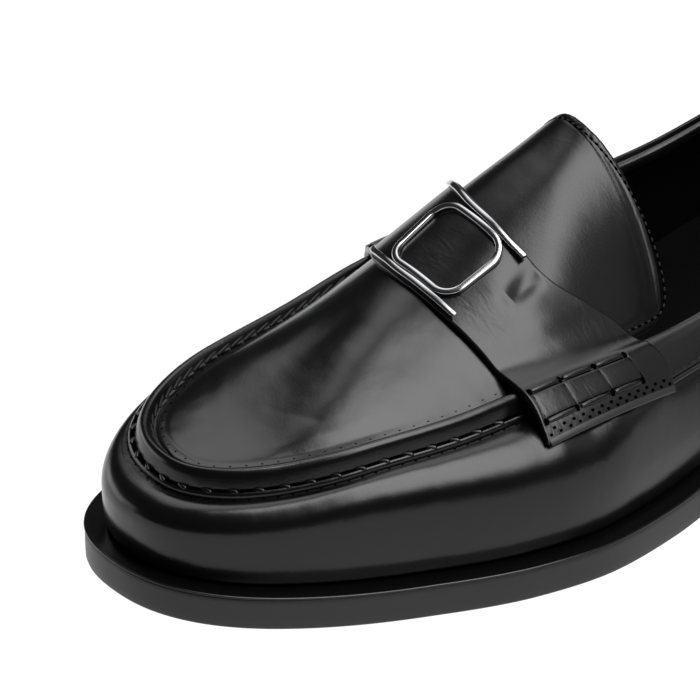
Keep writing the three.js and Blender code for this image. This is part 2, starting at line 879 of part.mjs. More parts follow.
// Ornament rail along one edge of the strap
function rail(name, column, direction) {
  const body = newBody();
  const middle = strapFace + gap + railHeight / 2;
  const place = (across) => {
    const x = along(strapPlan, column, across) * length + direction * (railInset + railWidth / 2);
    return { x, point: lidLifted(x, across, middle) };
  };
  const path = [];
  for (let i = 0; i <= railSteps; i += 1) {
    const across = mix(railShare.lateral, railShare.medial, i / railSteps);
    const ahead = place(across + slopeStep).point.sub(place(across - slopeStep).point).normalize();
    const { x, point } = place(across);
    path.push(barSection(point, ahead, strapUp(x, across), railWidth, railHeight, railSides));
  }
  sweep(body, path, false);
  return meshOf(name, body, metal(colours.ornament));
}

// Ornament link: a plain open frame with round corners between the rails
function link() {
  const body = newBody();
  const frontEdge = along(strapPlan, 'front', linkShare) * length;
  const rearEdge = along(strapPlan, 'rear', linkShare) * length;
  const margin = railInset + railWidth + gap + linkWire / 2;
  const centreX = (frontEdge + rearEdge) / 2;
  const halfX = (rearEdge - frontEdge) / 2 - margin;
  const centre = lidPoint(centreX, linkShare);
  const halfSpan = (linkSpan - linkWire) / 2;
  const acrossPerMm = slopeStep / (lidPoint(centreX, linkShare + slopeStep).y - centre.y);
  const halfAcross = halfSpan * acrossPerMm;
  const cornerX = Math.min(linkCorner, halfX);
  const cornerAcross = linkCorner * acrossPerMm;
  const corners = [{ x: 1, y: 1 }, { x: -1, y: 1 }, { x: -1, y: -1 }, { x: 1, y: -1 }];
  const outline = corners.flatMap((corner, quarter) => (
    Array.from({ length: cornerSteps + 1 }, (_, i) => {
      const angle = (quarter + i / cornerSteps) * Math.PI / 2;
      const straight = corner.y * (halfAcross - cornerAcross);
      return {
        x: centreX + corner.x * (halfX - cornerX) + Math.cos(angle) * cornerX,
        across: linkShare + straight + Math.sin(angle) * cornerAcross,
      };
    })
  ));
  const lift = strapFace + gap + linkWire / 2;
  const spots = outline.map(({ x, across }) => ({ x, across, point: lidLifted(x, across, lift) }));
  const path = spots.map(({ x, across, point }, i) => {
    const before = spots[(i + spots.length - 1) % spots.length].point;
    const after = spots[(i + 1) % spots.length].point;
    return barSection(point, after.clone().sub(before).normalize(), strapUp(x, across),
      linkWire, linkWire, wireSides);
  });
  sweep(body, path, true);
  return meshOf('ornament_link', body, metal(colours.ornament));
}

// Collar band: follows the topline from one end of the strap round the heel
function collarBand() {
  const body = newBody();
  const first = frontColumns + bandDelay;
  const path = turns().slice(first, columns - first + 1).map((turn) => bandSection.map(
    ({ inset, depth }) => collarPoint(turn, inset * bandThickness, depth * bandDepth),
  ));
  sweep(body, path, false);
  return meshOf('collar_band', body, leather(colours.trim, 0.3));
}

// The shoe, centred over its own footprint
function loafer() {
  const shoe = new THREE.Group();
  shoe.add(
    outsole(),
    welt(),
    heelBlock(),
    topLift(),
    insole(),
    upper(),
    tongue(),
    saddleStrap(),
    rail('ornament_rail_front', 'front', 1),
    rail('ornament_rail_rear', 'rear', -1),
    link(),
    collarBand(),
  );
  const ring = ringOf((turn) => soleEdge(turn, 0));
  const ys = ring.map(({ y }) => y);
  shoe.position.set(-length / 2, -(Math.min(...ys) + Math.max(...ys)) / 2, 0);
  return shoe;
}

const group = new THREE.Group();
group.add(loafer());

export default group;
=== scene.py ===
import math

import bpy
import bmesh
import numpy as np
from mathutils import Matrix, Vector


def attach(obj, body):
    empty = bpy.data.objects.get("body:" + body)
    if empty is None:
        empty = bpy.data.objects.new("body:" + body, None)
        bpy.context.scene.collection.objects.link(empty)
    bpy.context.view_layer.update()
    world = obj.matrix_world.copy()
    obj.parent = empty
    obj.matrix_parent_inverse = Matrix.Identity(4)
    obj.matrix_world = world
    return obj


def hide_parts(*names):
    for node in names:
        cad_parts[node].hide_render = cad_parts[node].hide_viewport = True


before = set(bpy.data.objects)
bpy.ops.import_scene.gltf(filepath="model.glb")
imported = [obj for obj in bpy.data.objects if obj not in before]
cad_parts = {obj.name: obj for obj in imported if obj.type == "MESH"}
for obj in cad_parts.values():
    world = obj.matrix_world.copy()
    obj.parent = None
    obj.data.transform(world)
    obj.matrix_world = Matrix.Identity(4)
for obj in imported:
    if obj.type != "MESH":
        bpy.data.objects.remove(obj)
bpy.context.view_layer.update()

# A left moc-toe loafer with a saddle strap, in millimetres until a piece is made.
# x runs from 0 at the toe to LENGTH at the heel, y from the lateral side (minus)
# to the medial side (plus), z up from the floor.

# Sizes of the sole
LENGTH = 264.0
BALL_WIDTH = 97.2
SOLE_THICK = 8.3
WELT_WIDTH = 12.0
TOE_SPRING = 7.5
HEEL_RISE = 15.0
LIFT_THICK = 6.0
HEEL_TAPER = 1.2
SEAT_TAPER = 0.4
LIFT_INSET = 0.6
INSOLE_THICK = 3.0
SOCK_CURL = 1.2
SOCK_DISH = 0.5

# Sizes of the upper
WALL = 1.8
RIM_FRONT = 5.5
RIM_HEEL = 4.0
BULGE = 3.0
SEAM_HEIGHT = 42.0
BACK_HEIGHT = 73.0
INSTEP_HEIGHT = 80.0
CREST_SETBACK = 15.0
COLLAR_SETBACK = 12.0
THROAT_X = 0.39 * LENGTH
THROAT_LEAD = 4.0
THROAT_FADE = 13.0
CROWN_FULL = 2.2
CROWN_SHIFT = 0.25
BAND_DEPTH = 7.4
BAND_THICK = 1.1
BAND_CLEAR = 0.4
TONGUE_THICK = 1.8
TONGUE_REACH = 35.2
TONGUE_SPAN = 0.975
TONGUE_CORNER = 13.0
TONGUE_FULL = 4.0
TONGUE_DIP = 2.5
STITCH_MARGIN = 1.25
STRAP_THICK = 1.7
STRAP_DROP = 8.3
STRAP_BOW = 0.55
STRAP_ARCH = 0.12
STRAP_LIFT = 0.25
GAP = 0.3

# Sizes of the ornament
RAIL_WIDTH = 1.5
RAIL_HEIGHT = 1.2
RAIL_INSET = 0.3
RAIL_TO = 0.61
LINK_WIRE = 1.7
LINK_SPAN = 22.0
LINK_CORNER = 4.5
LINK_MIDDLE = 0.07

# Round ends: reach along the shoe and fullness
TOE_ROUND = (0.255 * LENGTH, 2.3)
HEEL_ROUND = (0.16 * LENGTH, 2.2)
CREST_ROUND = (0.13 * LENGTH, 2.2)
COLLAR_ROUND = (0.15 * LENGTH, 2.2)
SPRING_END = 0.30
WAIST_START = 0.45
HEEL_START = 0.74
RIM_FADE = (0.55, 0.85)


def curve(a, b, slope_a, slope_b, span, u):
    """Between a and b at the share u of the span, with the given slopes at its ends."""
    return ((2 * u**3 - 3 * u**2 + 1) * a + (u**3 - 2 * u**2 + u) * span * slope_a
            + (3 * u**2 - 2 * u**3) * b + (u**3 - u**2) * span * slope_b)


class Table:
    """Rows of numbers under named columns, with a smooth curve through each column."""

    def __init__(self, names, *rows):
        self.names = names.split()
        self.rows = np.array(rows, float)

    def at(self, name, where):
        xs = self.rows[:, 0]
        ys = self.rows[:, self.names.index(name)]
        places = np.arange(len(xs))
        before = np.maximum(places - 1, 0)
        after = np.minimum(places + 1, len(xs) - 1)
        slopes = (ys[after] - ys[before]) / (xs[after] - xs[before])
        i = np.searchsorted(xs[1:-1], where, side="left")
        span = xs[i + 1] - xs[i]
        u = np.clip((where - xs[i]) / span, 0, 1)
        return curve(ys[i], ys[i + 1], slopes[i], slopes[i + 1], span, u)

    def sided(self, lateral, where):
        return np.where(lateral, self.at("lateral", where), self.at("medial", where))


SOLE_PLAN = Table(
    "at lateral medial",
    (0.00, 0.76, 0.79), (0.10, 0.79, 0.82), (0.20, 0.885, 0.885), (0.30, 1.04, 0.95),
    (0.38, 1.085, 0.95), (0.50, 0.97, 0.80), (0.62, 0.85, 0.65), (0.75, 0.73, 0.63),
    (0.88, 0.70, 0.67), (1.00, 0.70, 0.68))
WALL_SECTIONS = Table(
    "at lateral medial height full",
    (0.00, 0.50, 0.50, 0.30, 2.3), (0.15, 0.65, 0.65, 0.30, 2.3), (0.35, 0.85, 0.65, 0.33, 2.2),
    (0.48, 0.80, 0.50, 0.35, 1.5), (0.65, 0.80, 0.60, 0.40, 1.35), (0.85, 1.00, 1.00, 0.48, 1.45),
    (1.00, 1.15, 1.15, 0.54, 1.5))
CREST_PLAN = Table(
    "at lateral medial lateral_lift medial_lift",
    (0.05, 0.40, 0.53, -0.18, -0.16), (0.12, 0.447, 0.564, -0.16, -0.14),
    (0.19, 0.545, 0.597, -0.10, -0.08), (0.27, 0.634, 0.638, -0.065, -0.03),
    (0.35, 0.674, 0.679, -0.015, 0.05), (0.43, 0.70, 0.70, 0.0, 0.085),
    (0.51, 0.697, 0.679, 0.015, 0.095), (0.59, 0.658, 0.623, 0.08, 0.16),
    (0.68, 0.603, 0.57, 0.20, 0.27), (0.80, 0.570, 0.555, 0.44, 0.49),
    (0.92, 0.545, 0.54, 0.80, 0.82), (1.00, 0.52, 0.52, 1.0, 1.0))
CROWN_RISE = Table(
    "at rise",
    (0.05, 0.0), (0.12, 0.05), (0.19, 0.13), (0.27, 0.25), (0.33, 0.37),
    (0.41, 0.60), (0.47, 0.77), (0.53, 0.95), (0.58, 1.0))
STRAP_PLAN = Table(
    "at front rear",
    (-2.0, 0.326, 0.463), (-1.0, 0.329, 0.457), (-0.6, 0.324, 0.414), (-0.3, 0.320, 0.404),
    (0.0, 0.319, 0.404), (0.3, 0.320, 0.408), (0.6, 0.330, 0.424), (1.0, 0.370, 0.462),
    (2.0, 0.388, 0.480))
STRAP_STATIONS = np.array([
    -2, -1.75, -1.5, -1.25, -1.08, -0.98, -0.86, -0.72, -0.58, -0.44, -0.3, -0.15, 0,
    0.15, 0.3, 0.44, 0.58, 0.72, 0.86, 0.98, 1.08, 1.25, 1.5, 1.75, 2])
SEAM_GIRTH = 0.95

# The raised seam from the vamp over the lip, the stitched channel and the crest to
# the apron: out from the crest and down from it, then what the row becomes along
# the collar: depth as a share of the band, and shares of the recess and the wall
RIDGE = np.array([
    (3.70, 5.70, 1.08, 0, 0), (3.45, 5.66, 1.05, 0, 0), (3.32, 5.62, 1.05, 1, 0),
    (3.30, 5.20, 0.95, 1, 0), (3.26, 4.75, 0.85, 1, 0), (3.10, 4.30, 0.75, 1, 0),
    (2.85, 4.10, 0.66, 1, 0), (2.60, 4.25, 0.58, 1, 0), (2.48, 4.75, 0.50, 1, 0),
    (2.28, 4.95, 0.43, 1, 0), (2.06, 4.60, 0.36, 1, 0), (1.88, 3.75, 0.28, 1, 0),
    (1.62, 2.75, 0.20, 1, 0), (1.34, 1.75, 0.14, 1, 0), (1.02, 0.85, 0.10, 1, 0),
    (0.60, 0.24, 0.06, 1, 0.12), (0.00, 0.00, 0.04, 1, 0.3), (-0.50, 0.06, 0.04, 1, 0.5),
    (-0.95, 0.28, 0.05, 1, 0.62), (-1.25, 0.75, 0.06, 1, 0.72), (-1.45, 1.40, 0.07, 1, 0.82),
    (-1.75, 1.82, 0.08, 1, 0.9), (-2.10, 1.93, 0.09, 1, 0.95), (-2.40, 1.90, 0.10, 1, 1.0),
])
RIDGE_UNDER = np.array((-0.18, 5.2, 0.4, 1, 1))
APRON_IN = 2.40
APRON_DOWN = 1.90
RECESS = BAND_THICK + BAND_CLEAR

UP = np.array((0, 0, 1.0))

# How finely the pieces are cut
FRONT = 150
REAR = 120
COLUMNS = 2 * (FRONT + REAR)
ACROSS = 84


# Shapes

def ease(start, end, value):
    part = np.clip((value - start) / (end - start), 0, 1)
    return part * part * (3 - 2 * part)


def mix(a, b, part):
    return a + (b - a) * part


def spot(x, y, z):
    return np.stack(np.broadcast_arrays(x, y, z), -1).astype(float)


def unit(v):
    return v / np.maximum(np.linalg.norm(v, axis=-1, keepdims=True), 1e-9)


def round_end(distance, end):
    reach, full = end
    part = np.clip(distance / reach, 0, 1)
    return (1 - (1 - part) ** full) ** (1 / full)


def is_lateral(turn):
    return np.sin(turn) >= 0


def advance(turn):
    return (1 - np.cos(turn)) / 2


def sole_half(x, lateral, inset):
    half = SOLE_PLAN.sided(lateral, x / LENGTH) * BALL_WIDTH / 2 - inset
    return half * round_end(x - inset, TOE_ROUND) * round_end(LENGTH - inset - x, HEEL_ROUND)


def sole_sides(x, inset):
    """The outline's lateral and medial y at each x."""
    return (-sole_half(x, np.full(x.shape, True), inset),
            sole_half(x, np.full(x.shape, False), inset))


def sole_edge(turn, inset):
    x = mix(inset, LENGTH - inset, advance(turn))
    lateral = is_lateral(turn)
    return x, np.where(lateral, -1.0, 1.0) * sole_half(x, lateral, inset)


def sole_bottom(x):
    lift = np.clip((SPRING_END - x / LENGTH) / SPRING_END, 0, 1)
    return TOE_SPRING * lift * lift + HEEL_RISE * ease(WAIST_START, HEEL_START, x / LENGTH)


def inward(turn):
    ax, ay = sole_edge(turn - 0.02, 0)
    bx, by = sole_edge(turn + 0.02, 0)
    size = np.hypot(bx - ax, by - ay)
    return -(by - ay) / size, (bx - ax) / size


def feather_edge(turn, inset):
    x, y = sole_edge(turn, 0)
    rim = mix(RIM_FRONT, RIM_HEEL, ease(*RIM_FADE, x / LENGTH)) + inset
    nx, ny = inward(turn)
    return x + rim * nx, y + rim * ny


def crest_height(x, across):
    low = CREST_PLAN.at("lateral_lift", x / LENGTH)
    high = CREST_PLAN.at("medial_lift", x / LENGTH)
    return SEAM_HEIGHT + (BACK_HEIGHT - SEAM_HEIGHT) * mix(low, high, (1 + across) / 2)


def crest_at(x, lateral, inset, drop):
    around = (round_end(x - CREST_SETBACK - inset, CREST_ROUND)
              * round_end(LENGTH - COLLAR_SETBACK - inset - x, COLLAR_ROUND))
    half = (CREST_PLAN.sided(lateral, x / LENGTH) * BALL_WIDTH / 2 - inset) * around
    sign = np.where(lateral, -1.0, 1.0)
    return spot(x, sign * half, crest_height(x, sign * around) - drop)


def crest_point(turn, inset, drop):
    front = CREST_SETBACK + inset
    back = LENGTH - COLLAR_SETBACK - inset
    return crest_at(mix(front, back, advance(turn)), is_lateral(turn), inset, drop)


def collar_part(x):
    return ease(THROAT_X - THROAT_LEAD, THROAT_X + THROAT_FADE, x)


class WallBase:
    """The foot of the wall at each turn: where it stands and how it leans out."""

    def __init__(self, turn, inset):
        lateral = is_lateral(turn)
        self.x, self.y = feather_edge(turn, inset)
        self.nx, self.ny = inward(turn)
        share = self.x / LENGTH
        self.over = WALL_SECTIONS.sided(lateral, share) * BULGE
        self.rise = WALL_SECTIONS.at("height", share) * (SEAM_HEIGHT - SOLE_THICK)
        self.full = WALL_SECTIONS.at("full", share)
        self.floor = sole_bottom(self.x) + SOLE_THICK + GAP
        self.low = self.floor + self.rise

    def under(self, part):
        out = self.over * np.sin(part * np.pi / 2)
        up = self.rise * (1 - np.cos(part * np.pi / 2))
        return spot(self.x - out * self.nx, self.y - out * self.ny, self.floor + up)

    def curve(self, end, part):
        angle = part * np.pi / 2
        inwards = 1 - np.maximum(np.cos(angle), 0) ** (2 / self.full)
        upwards = np.sin(angle) ** (2 / self.full)
        return spot(mix(self.x - self.over * self.nx, end[..., 0], inwards),
                    mix(self.y - self.over * self.ny, end[..., 1], inwards),
                    mix(self.low, end[..., 2], upwards))

    def at_height(self, end, z):
        up = np.clip((z - self.low) / (end[..., 2] - self.low), 0, 1)
        return self.curve(end, np.arcsin(up ** (self.full / 2)) * 2 / np.pi)


def collar_point(turn, inset, depth):
    base = WallBase(turn, 0)
    top = crest_point(turn, 0, 0)
    point = base.at_height(top, top[..., 2] - depth)
    return point + spot(base.nx * inset, base.ny * inset, 0)


def ridge_point(turn, row, inset, drop):
    out, down, depth, recess, thick = row
    collar = collar_part(crest_point(turn, 0, 0)[..., 0])[..., None]
    seam = crest_point(turn, inset - out, down + drop)
    edge = collar_point(turn, recess * RECESS + thick * WALL + inset, depth * BAND_DEPTH + drop)
    return mix(seam, edge, collar)


def wall_point(turn, part, inset):
    base = WallBase(turn, inset)
    foot = ridge_point(turn, RIDGE[0], inset * 0.8, inset * 0.9)
    collar = collar_part(crest_point(turn, 0, 0)[..., 0])[..., None]
    seam = base.curve(foot, part)
    plain = base.at_height(crest_point(turn, inset, 0), mix(base.low, foot[..., 2], part))
    return mix(seam, plain, collar)


def lid_edges(x):
    return [crest_at(x, np.full(np.shape(x), side), APRON_IN, APRON_DOWN)
            for side in (True, False)]


def lid_point(x, across):
    x, across = np.broadcast_arrays(np.asarray(x, float), np.asarray(across, float))
    lateral, medial = lid_edges(x)
    point = mix(lateral, medial, ((1 + across) / 2)[..., None])
    offset = across - CROWN_SHIFT
    off = np.abs(offset) / (1 + np.where(offset < 0, CROWN_SHIFT, -CROWN_SHIFT))
    crown = CROWN_RISE.at("rise", x / LENGTH) * (INSTEP_HEIGHT - SEAM_HEIGHT)
    point[..., 2] += crown * (1 - np.minimum(off, 1) ** CROWN_FULL)
    return point


def lid_rise(x, across):
    """The direction straight up from the apron's surface."""
    safe = np.clip(across, -0.98, 0.98)
    ahead = lid_point(x + 1, safe) - lid_point(x - 1, safe)
    over = lid_point(x, safe + 0.02) - lid_point(x, safe - 0.02)
    return unit(np.cross(ahead, over))


def lid_lifted(x, across, lift):
    return lid_point(x, across) + lid_rise(x, across) * lift


def lid_across(x, y):
    lateral, medial = lid_edges(x)
    return 2 * (y - lateral[..., 1]) / (medial[..., 1] - lateral[..., 1]) - 1


def on_lid(plan):
    """The apron's surface over each point of a plan, and straight up from it."""
    across = lid_across(plan[:, 0], plan[:, 1])
    return lid_point(plan[:, 0], across), lid_rise(plan[:, 0], across)


def nearest(points, edge):
    """How far each point is from an edge, in plan where the edge is flat."""
    away = [np.min(np.linalg.norm(edge - p[:edge.shape[1]], axis=1))
            for p in points.reshape(-1, 3)]
    return np.array(away).reshape(points.shape[:-1])


# Creases: each is a line in plan, in shares of the length and of half the ball
# width, with its width in mm and its height in mm (minus for a trough)

def creases(points, lines):
    total = np.zeros(points.shape[:-1])
    for ax, ay, bx, by, width, height in lines:
        a = np.array((ax * LENGTH, ay * BALL_WIDTH / 2))
        b = np.array((bx * LENGTH, by * BALL_WIDTH / 2))
        flat = points[..., :2] - a
        run = b - a
        part = np.clip(flat @ run / (run @ run), 0, 1)
        away = np.linalg.norm(flat - part[..., None] * run, axis=-1)
        total += height * groove(away, width) * np.sin(np.pi * mix(0.12, 0.88, part))
    return total


def groove(away, width):
    """The soft section of a groove or a bead, 1 in its middle."""
    return np.exp(-((away / width) ** 2))


def ripple(points, size, height, seed):
    """Gentle unevenness of stretched leather, from a few crossing waves."""
    waves = np.random.default_rng(seed)
    total = np.zeros(points.shape[:-1])
    for _ in range(9):
        way = unit(waves.normal(size=3))
        total += np.sin(points @ way * 2 * np.pi / (size * waves.uniform(0.7, 1.6))
                        + waves.uniform(0, 6.28))
    return total * height / 3


def normals_of(grid, wrap):
    if wrap:
        over = np.roll(grid, -1, 1) - np.roll(grid, 1, 1)
    else:
        over = np.gradient(grid, axis=1)
    return unit(np.cross(np.gradient(grid, axis=0), over))


# Meshes

SIDEWAYS = sole_edge(np.linspace(0, 2 * np.pi, 241)[:-1], 0)[1]
TO_MIDDLE = np.array((-LENGTH / 2, -(SIDEWAYS.min() + SIDEWAYS.max()) / 2, 0))


def metres(points):
    return (np.asarray(points, float).reshape(-1, 3) + TO_MIDDLE) / 1000


class Body:
    """Points and faces of one piece, gathered row by row."""

    def __init__(self):
        self.points = []
        self.faces = []
        self.kinds = []
        self.count = 0

    def add(self, points):
        points = np.asarray(points, float)
        flat = points.reshape(-1, 3)
        self.points.append(flat)
        first = self.count
        self.count += len(flat)
        return np.arange(first, self.count).reshape(points.shape[:-1])

    def band(self, a, b, wrap=False, kind=0):
        if wrap:
            a = np.append(a, a[:1])
            b = np.append(b, b[:1])
        for quad in zip(a[:-1], a[1:], b[1:], b[:-1]):
            self.face(quad, kind)

    def face(self, corners, kind=0):
        kept = list(dict.fromkeys(int(c) for c in corners))
        if len(kept) > 2:
            self.faces.append(kept)
            self.kinds.append(kind)

    def grid(self, index, wrap=False, kind=0):
        for a, b in zip(index[:-1], index[1:]):
            self.band(a, b, wrap, kind)

    def cap(self, ring):
        """Fills a ring that starts at the toe, by strips between its two sides."""
        count = len(ring)
        for i in range(count // 2):
            self.face((ring[i], ring[i + 1], ring[(count - i - 1) % count],
                       ring[(count - i) % count]))

    def fan(self, ring, turned=False):
        middle = self.add(np.concatenate(self.points)[ring].mean(0)[None])[0]
        for a, b in zip(ring, np.roll(ring, -1)):
            self.face((middle, b, a) if turned else (middle, a, b))


def put(name, data):
    thing = bpy.data.objects.new(name, data)
    bpy.context.scene.collection.objects.link(thing)
    return thing


def make(name, body, slot, *paints, replaces=(), sharp=50):
    mesh = bpy.data.meshes.new(name)
    mesh.from_pydata(metres(np.concatenate(body.points)).tolist(), [], body.faces)
    for paint in paints:
        mesh.materials.append(paint)
    mesh.polygons.foreach_set("material_index", body.kinds)
    work = bmesh.new()
    work.from_mesh(mesh)
    bmesh.ops.recalc_face_normals(work, faces=work.faces)
    work.to_mesh(mesh)
    work.free()
    mesh.polygons.foreach_set("use_smooth", [True] * len(mesh.polygons))
    mesh.set_sharp_from_angle(angle=math.radians(sharp))
    mesh.update()
    piece = put(name, mesh)
    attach(piece, "root")
    if replaces:
        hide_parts(*replaces)
    return piece


def padded_sheet(name, under, rise, thickness, bulge, slot, paint, edge_paint, replaces=()):
    """A sheet of even thickness on a grid of points, with a soft round edge."""
    body = Body()
    over = under + rise * thickness
    low, high = body.add(under), body.add(over)
    body.grid(low)
    body.grid(high)

    def border(grid):
        return np.concatenate([grid[0, :-1], grid[:-1, -1], grid[-1, :0:-1], grid[:0:-1, 0]])

    edge, up = border(under), border(rise)
    run = unit(np.roll(edge, -1, 0) - np.roll(edge, 1, 0))
    away = unit(np.cross(run, up))
    if np.sum(away * (edge - edge.mean(0))) < 0:
        away = -away
    rows = [border(low)]
    for angle in np.linspace(0, np.pi, 8)[1:-1]:
        out = bulge * math.sin(angle) ** 0.7
        height = thickness * (1 - math.cos(angle)) / 2
        rows.append(body.add(edge + up * height + away * out))
    rows.append(border(high))
    body.grid(rows, True, 1)
    return make(name, body, slot, paint, edge_paint, replaces=replaces, sharp=70)


def sweep(body, sections, wrap):
    index = body.add(sections)
    body.grid(index, True)
    if wrap:
        body.band(index[-1], index[0], True)
    else:
        body.fan(index[0], True)
        body.fan(index[-1])


def bar(points, up, width, height, sides=16, square=0.55):
    """Sections of a bar with round edges, square to its run."""
    ahead = unit(np.gradient(points, axis=0))
    across = unit(np.cross(ahead, up))
    top = unit(np.cross(across, ahead))
    angle = (np.arange(sides) + 0.5) * 2 * np.pi / sides
    c, s = np.cos(angle), np.sin(angle)
    wide = np.sign(c) * np.abs(c) ** square * width / 2
    high = np.sign(s) * np.abs(s) ** square * height / 2
    return (points[:, None] + across[:, None] * wide[None, :, None]
            + top[:, None] * high[None, :, None])


def run_along(path):
    """How far along a path each of its points lies."""
    return np.concatenate([[0], np.cumsum(np.linalg.norm(np.diff(path, axis=0), axis=1))])


def paced(path, pitch, start=0.5):
    """Places at an even pitch along a path, with the direction there."""
    run = run_along(path)
    count = max(int(round(run[-1] / pitch)), 1)
    marks = (np.arange(count) + start) * run[-1] / count
    spots, ahead, behind = (np.stack([np.interp(marks + step, run, path[:, k])
                                      for k in range(3)], -1) for step in (0, 0.3, -0.3))
    return spots, unit(ahead - behind)


def threads(name, spots, along, up, size, slot, paint, rounds=5, sides=8):
    """Many short stitches, each a rounded length of thread that lies along its path; in the dark
    hole paint the same shapes are blobs of painted shade.
    """
    body = Body()
    length, width, height = size
    around = np.arange(sides) * 2 * np.pi / sides
    swell = np.sin(np.linspace(0.25, np.pi - 0.25, rounds)) ** 0.55
    places = -np.cos(np.linspace(0.1, np.pi - 0.1, rounds)) * length / 2
    for seat, run, top in zip(spots, unit(along), unit(up)):
        side = unit(np.cross(run, top))
        top = unit(np.cross(side, run))
        rings = (seat + run * places[:, None, None]
                 + side * (np.cos(around)[None, :, None] * swell[:, None, None] * width / 2)
                 + top * (np.sin(around)[None, :, None] * swell[:, None, None] * height / 2))
        index = body.add(rings)
        body.grid(index, True)
        body.faces.append([int(i) for i in index[0][::-1]])
        body.faces.append([int(i) for i in index[-1]])
        body.kinds += [0, 0]
    return make(name, body, slot, paint, sharp=80)


# Paints

class Value:
    """A number that changes over a surface; sums with it add the nodes they need."""

    def __init__(self, paint, socket):
        self.paint = paint
        self.socket = socket

    def math(self, operation, *terms):
        return self.paint.node("ShaderNodeMath", {"operation": operation}, dict(enumerate(terms)))

    def __add__(self, other):
        return self.math("ADD", self, other)

    def __sub__(self, other):
        return self.math("SUBTRACT", self, other)

    def __rsub__(self, other):
        return self.math("SUBTRACT", other, self)

    def __mul__(self, other):
        return self.math("MULTIPLY", self, other)

    def __pow__(self, other):
        return self.math("POWER", self, other)

    def __abs__(self):
        return self.math("ABSOLUTE", self)

    __radd__ = __add__
    __rmul__ = __mul__

    def limited(self):
        return self.math("MAXIMUM", self.math("MINIMUM", self, 1.0), 0.0)


class Paint:
    """A material of one principled shader, with the nodes that feed it."""

    def __init__(self, name, **steady):
        self.material = bpy.data.materials.new(name)
        self.material.use_nodes = True
        self.tree = self.material.node_tree
        self.shader = self.tree.nodes["Principled BSDF"]
        for socket, value in steady.items():
            self.shader.inputs[socket.replace("_", " ")].default_value = value

    def node(self, kind, settings=None, inputs=None, output=0):
        made = self.tree.nodes.new(kind)
        for key, value in (settings or {}).items():
            if key == "stops":
                for element, (place, grey) in zip(made.color_ramp.elements, value):
                    element.position = place
                    element.color = (grey, grey, grey, 1)
            else:
                setattr(made, key, value)
        for key, value in (inputs or {}).items():
            if isinstance(value, Value):
                self.tree.links.new(value.socket, made.inputs[key])
            else:
                made.inputs[key].default_value = value
        return Value(self, made.outputs[output])

    def feed(self, socket, value):
        self.tree.links.new(value.socket, self.shader.inputs[socket])

    def place(self, stretch=(1, 1, 1), turn=(0, 0, 0)):
        where = self.node("ShaderNodeTexCoord", output=3)
        return self.node("ShaderNodeMapping", inputs={
            "Vector": where, "Scale": stretch, "Rotation": turn})

    # Noise and cells come so many to the mm, and bumps are so many mm deep

    def noise(self, per_mm, detail=2.0, rough=0.5, distort=0.0, stretch=(1, 1, 1), turn=(0, 0, 0)):
        return self.node("ShaderNodeTexNoise", inputs={
            "Vector": self.place(stretch, turn), "Scale": per_mm * 1000, "Detail": detail,
            "Roughness": rough, "Distortion": distort})

    def cells(self, per_mm):
        return self.node("ShaderNodeTexVoronoi", inputs={
            "Vector": self.place(), "Scale": per_mm * 1000})

    def blend(self, mask, low, high):
        return self.node("ShaderNodeMix", {"data_type": "RGBA"}, {
            0: mask, 6: (*low, 1), 7: (*high, 1)}, 2)

    def tint(self, tone, low, high, mask):
        """The tone, from one share of itself to another."""
        shares = ([c * share for c in tone] for share in (low, high))
        self.feed("Base Color", self.blend(mask, *shares))

    def finish(self, rough, normal):
        self.feed("Roughness", rough)
        self.feed("Normal", normal)
        return self.material

    def bump(self, height, depth_mm, below=None):
        inputs = {"Height": height, "Distance": depth_mm / 1000, "Strength": 1.0}
        if below is not None:
            inputs["Normal"] = below
        return self.node("ShaderNodeBump", inputs=inputs)


def polished_leather(name, tone, rough, wrinkle, sway, turn=0.0):
    paint = Paint(name, IOR=1.40)
    broad = paint.noise(0.035, 3, 0.55)
    grain = paint.noise(2.2, 3, 0.6)
    pores = paint.cells(1.4)
    lines = paint.noise(0.33, 2, 0.5, 0.5, stretch=(1, 0.25, 0.6), turn=(0, 0, turn))
    where = (paint.noise(0.04, 2) * 4 - 1.9).limited()
    folds = (1 - abs(lines * 2 - 1) * 2.2).limited() ** 2 * where
    paint.tint(tone, 0.75, 1.3, broad)
    creased = paint.bump(folds, wrinkle, paint.bump(broad, sway))
    return paint.finish(rough + (broad - 0.5) * 0.14 + (grain - 0.5) * 0.06,
                        paint.bump(grain * 0.5 + pores * 0.5, 0.012, creased))


def matt_rubber(name, tone, rough, speck):
    paint = Paint(name, IOR=1.38)
    broad = paint.noise(0.05, 2)
    fine = paint.noise(3.0, 2)
    paint.tint(tone, 0.85, 1.15, broad)
    return paint.finish(rough + (fine - 0.5) * 0.1, paint.bump(fine, speck))


def lining_leather(name, tone):
    paint = Paint(name, IOR=1.3, Specular_IOR_Level=0.06)
    broad = paint.noise(0.08, 2)
    pores = paint.cells(1.8)
    paint.tint(tone, 0.7, 1.3, broad)
    return paint.finish(0.62 + (broad - 0.5) * 0.15, paint.bump(pores, 0.03))


def thread_cotton(name, tone):
    paint = Paint(name, IOR=1.35)
    twist = paint.noise(1.2, 2, stretch=(1, 3, 1))
    paint.tint(tone, 0.6, 1.4, twist)
    return paint.finish(0.55 + (twist - 0.5) * 0.2, paint.bump(twist, 0.06))


# Painted shade: a dark paint without gloss, for blobs and strips that stand for the shade in
# holes, pits, slits and at the feet of cords
def deep_shadow(name, tone):
    paint = Paint(name, Specular_IOR_Level=0.0, Roughness=0.9)
    paint.tint(tone, 0.6, 1.0, paint.noise(0.5, 2))
    return paint.material


def polished_metal(name, tone):
    paint = Paint(name, Metallic=1.0)
    brushed = paint.noise(1.5, 3, 0.6, stretch=(8, 1, 1))
    broad = paint.noise(0.1, 2)
    paint.tint(tone, 0.85, 1.1, broad)
    return paint.finish(0.13 + (brushed - 0.5) * 0.08, paint.bump(brushed, 0.004))


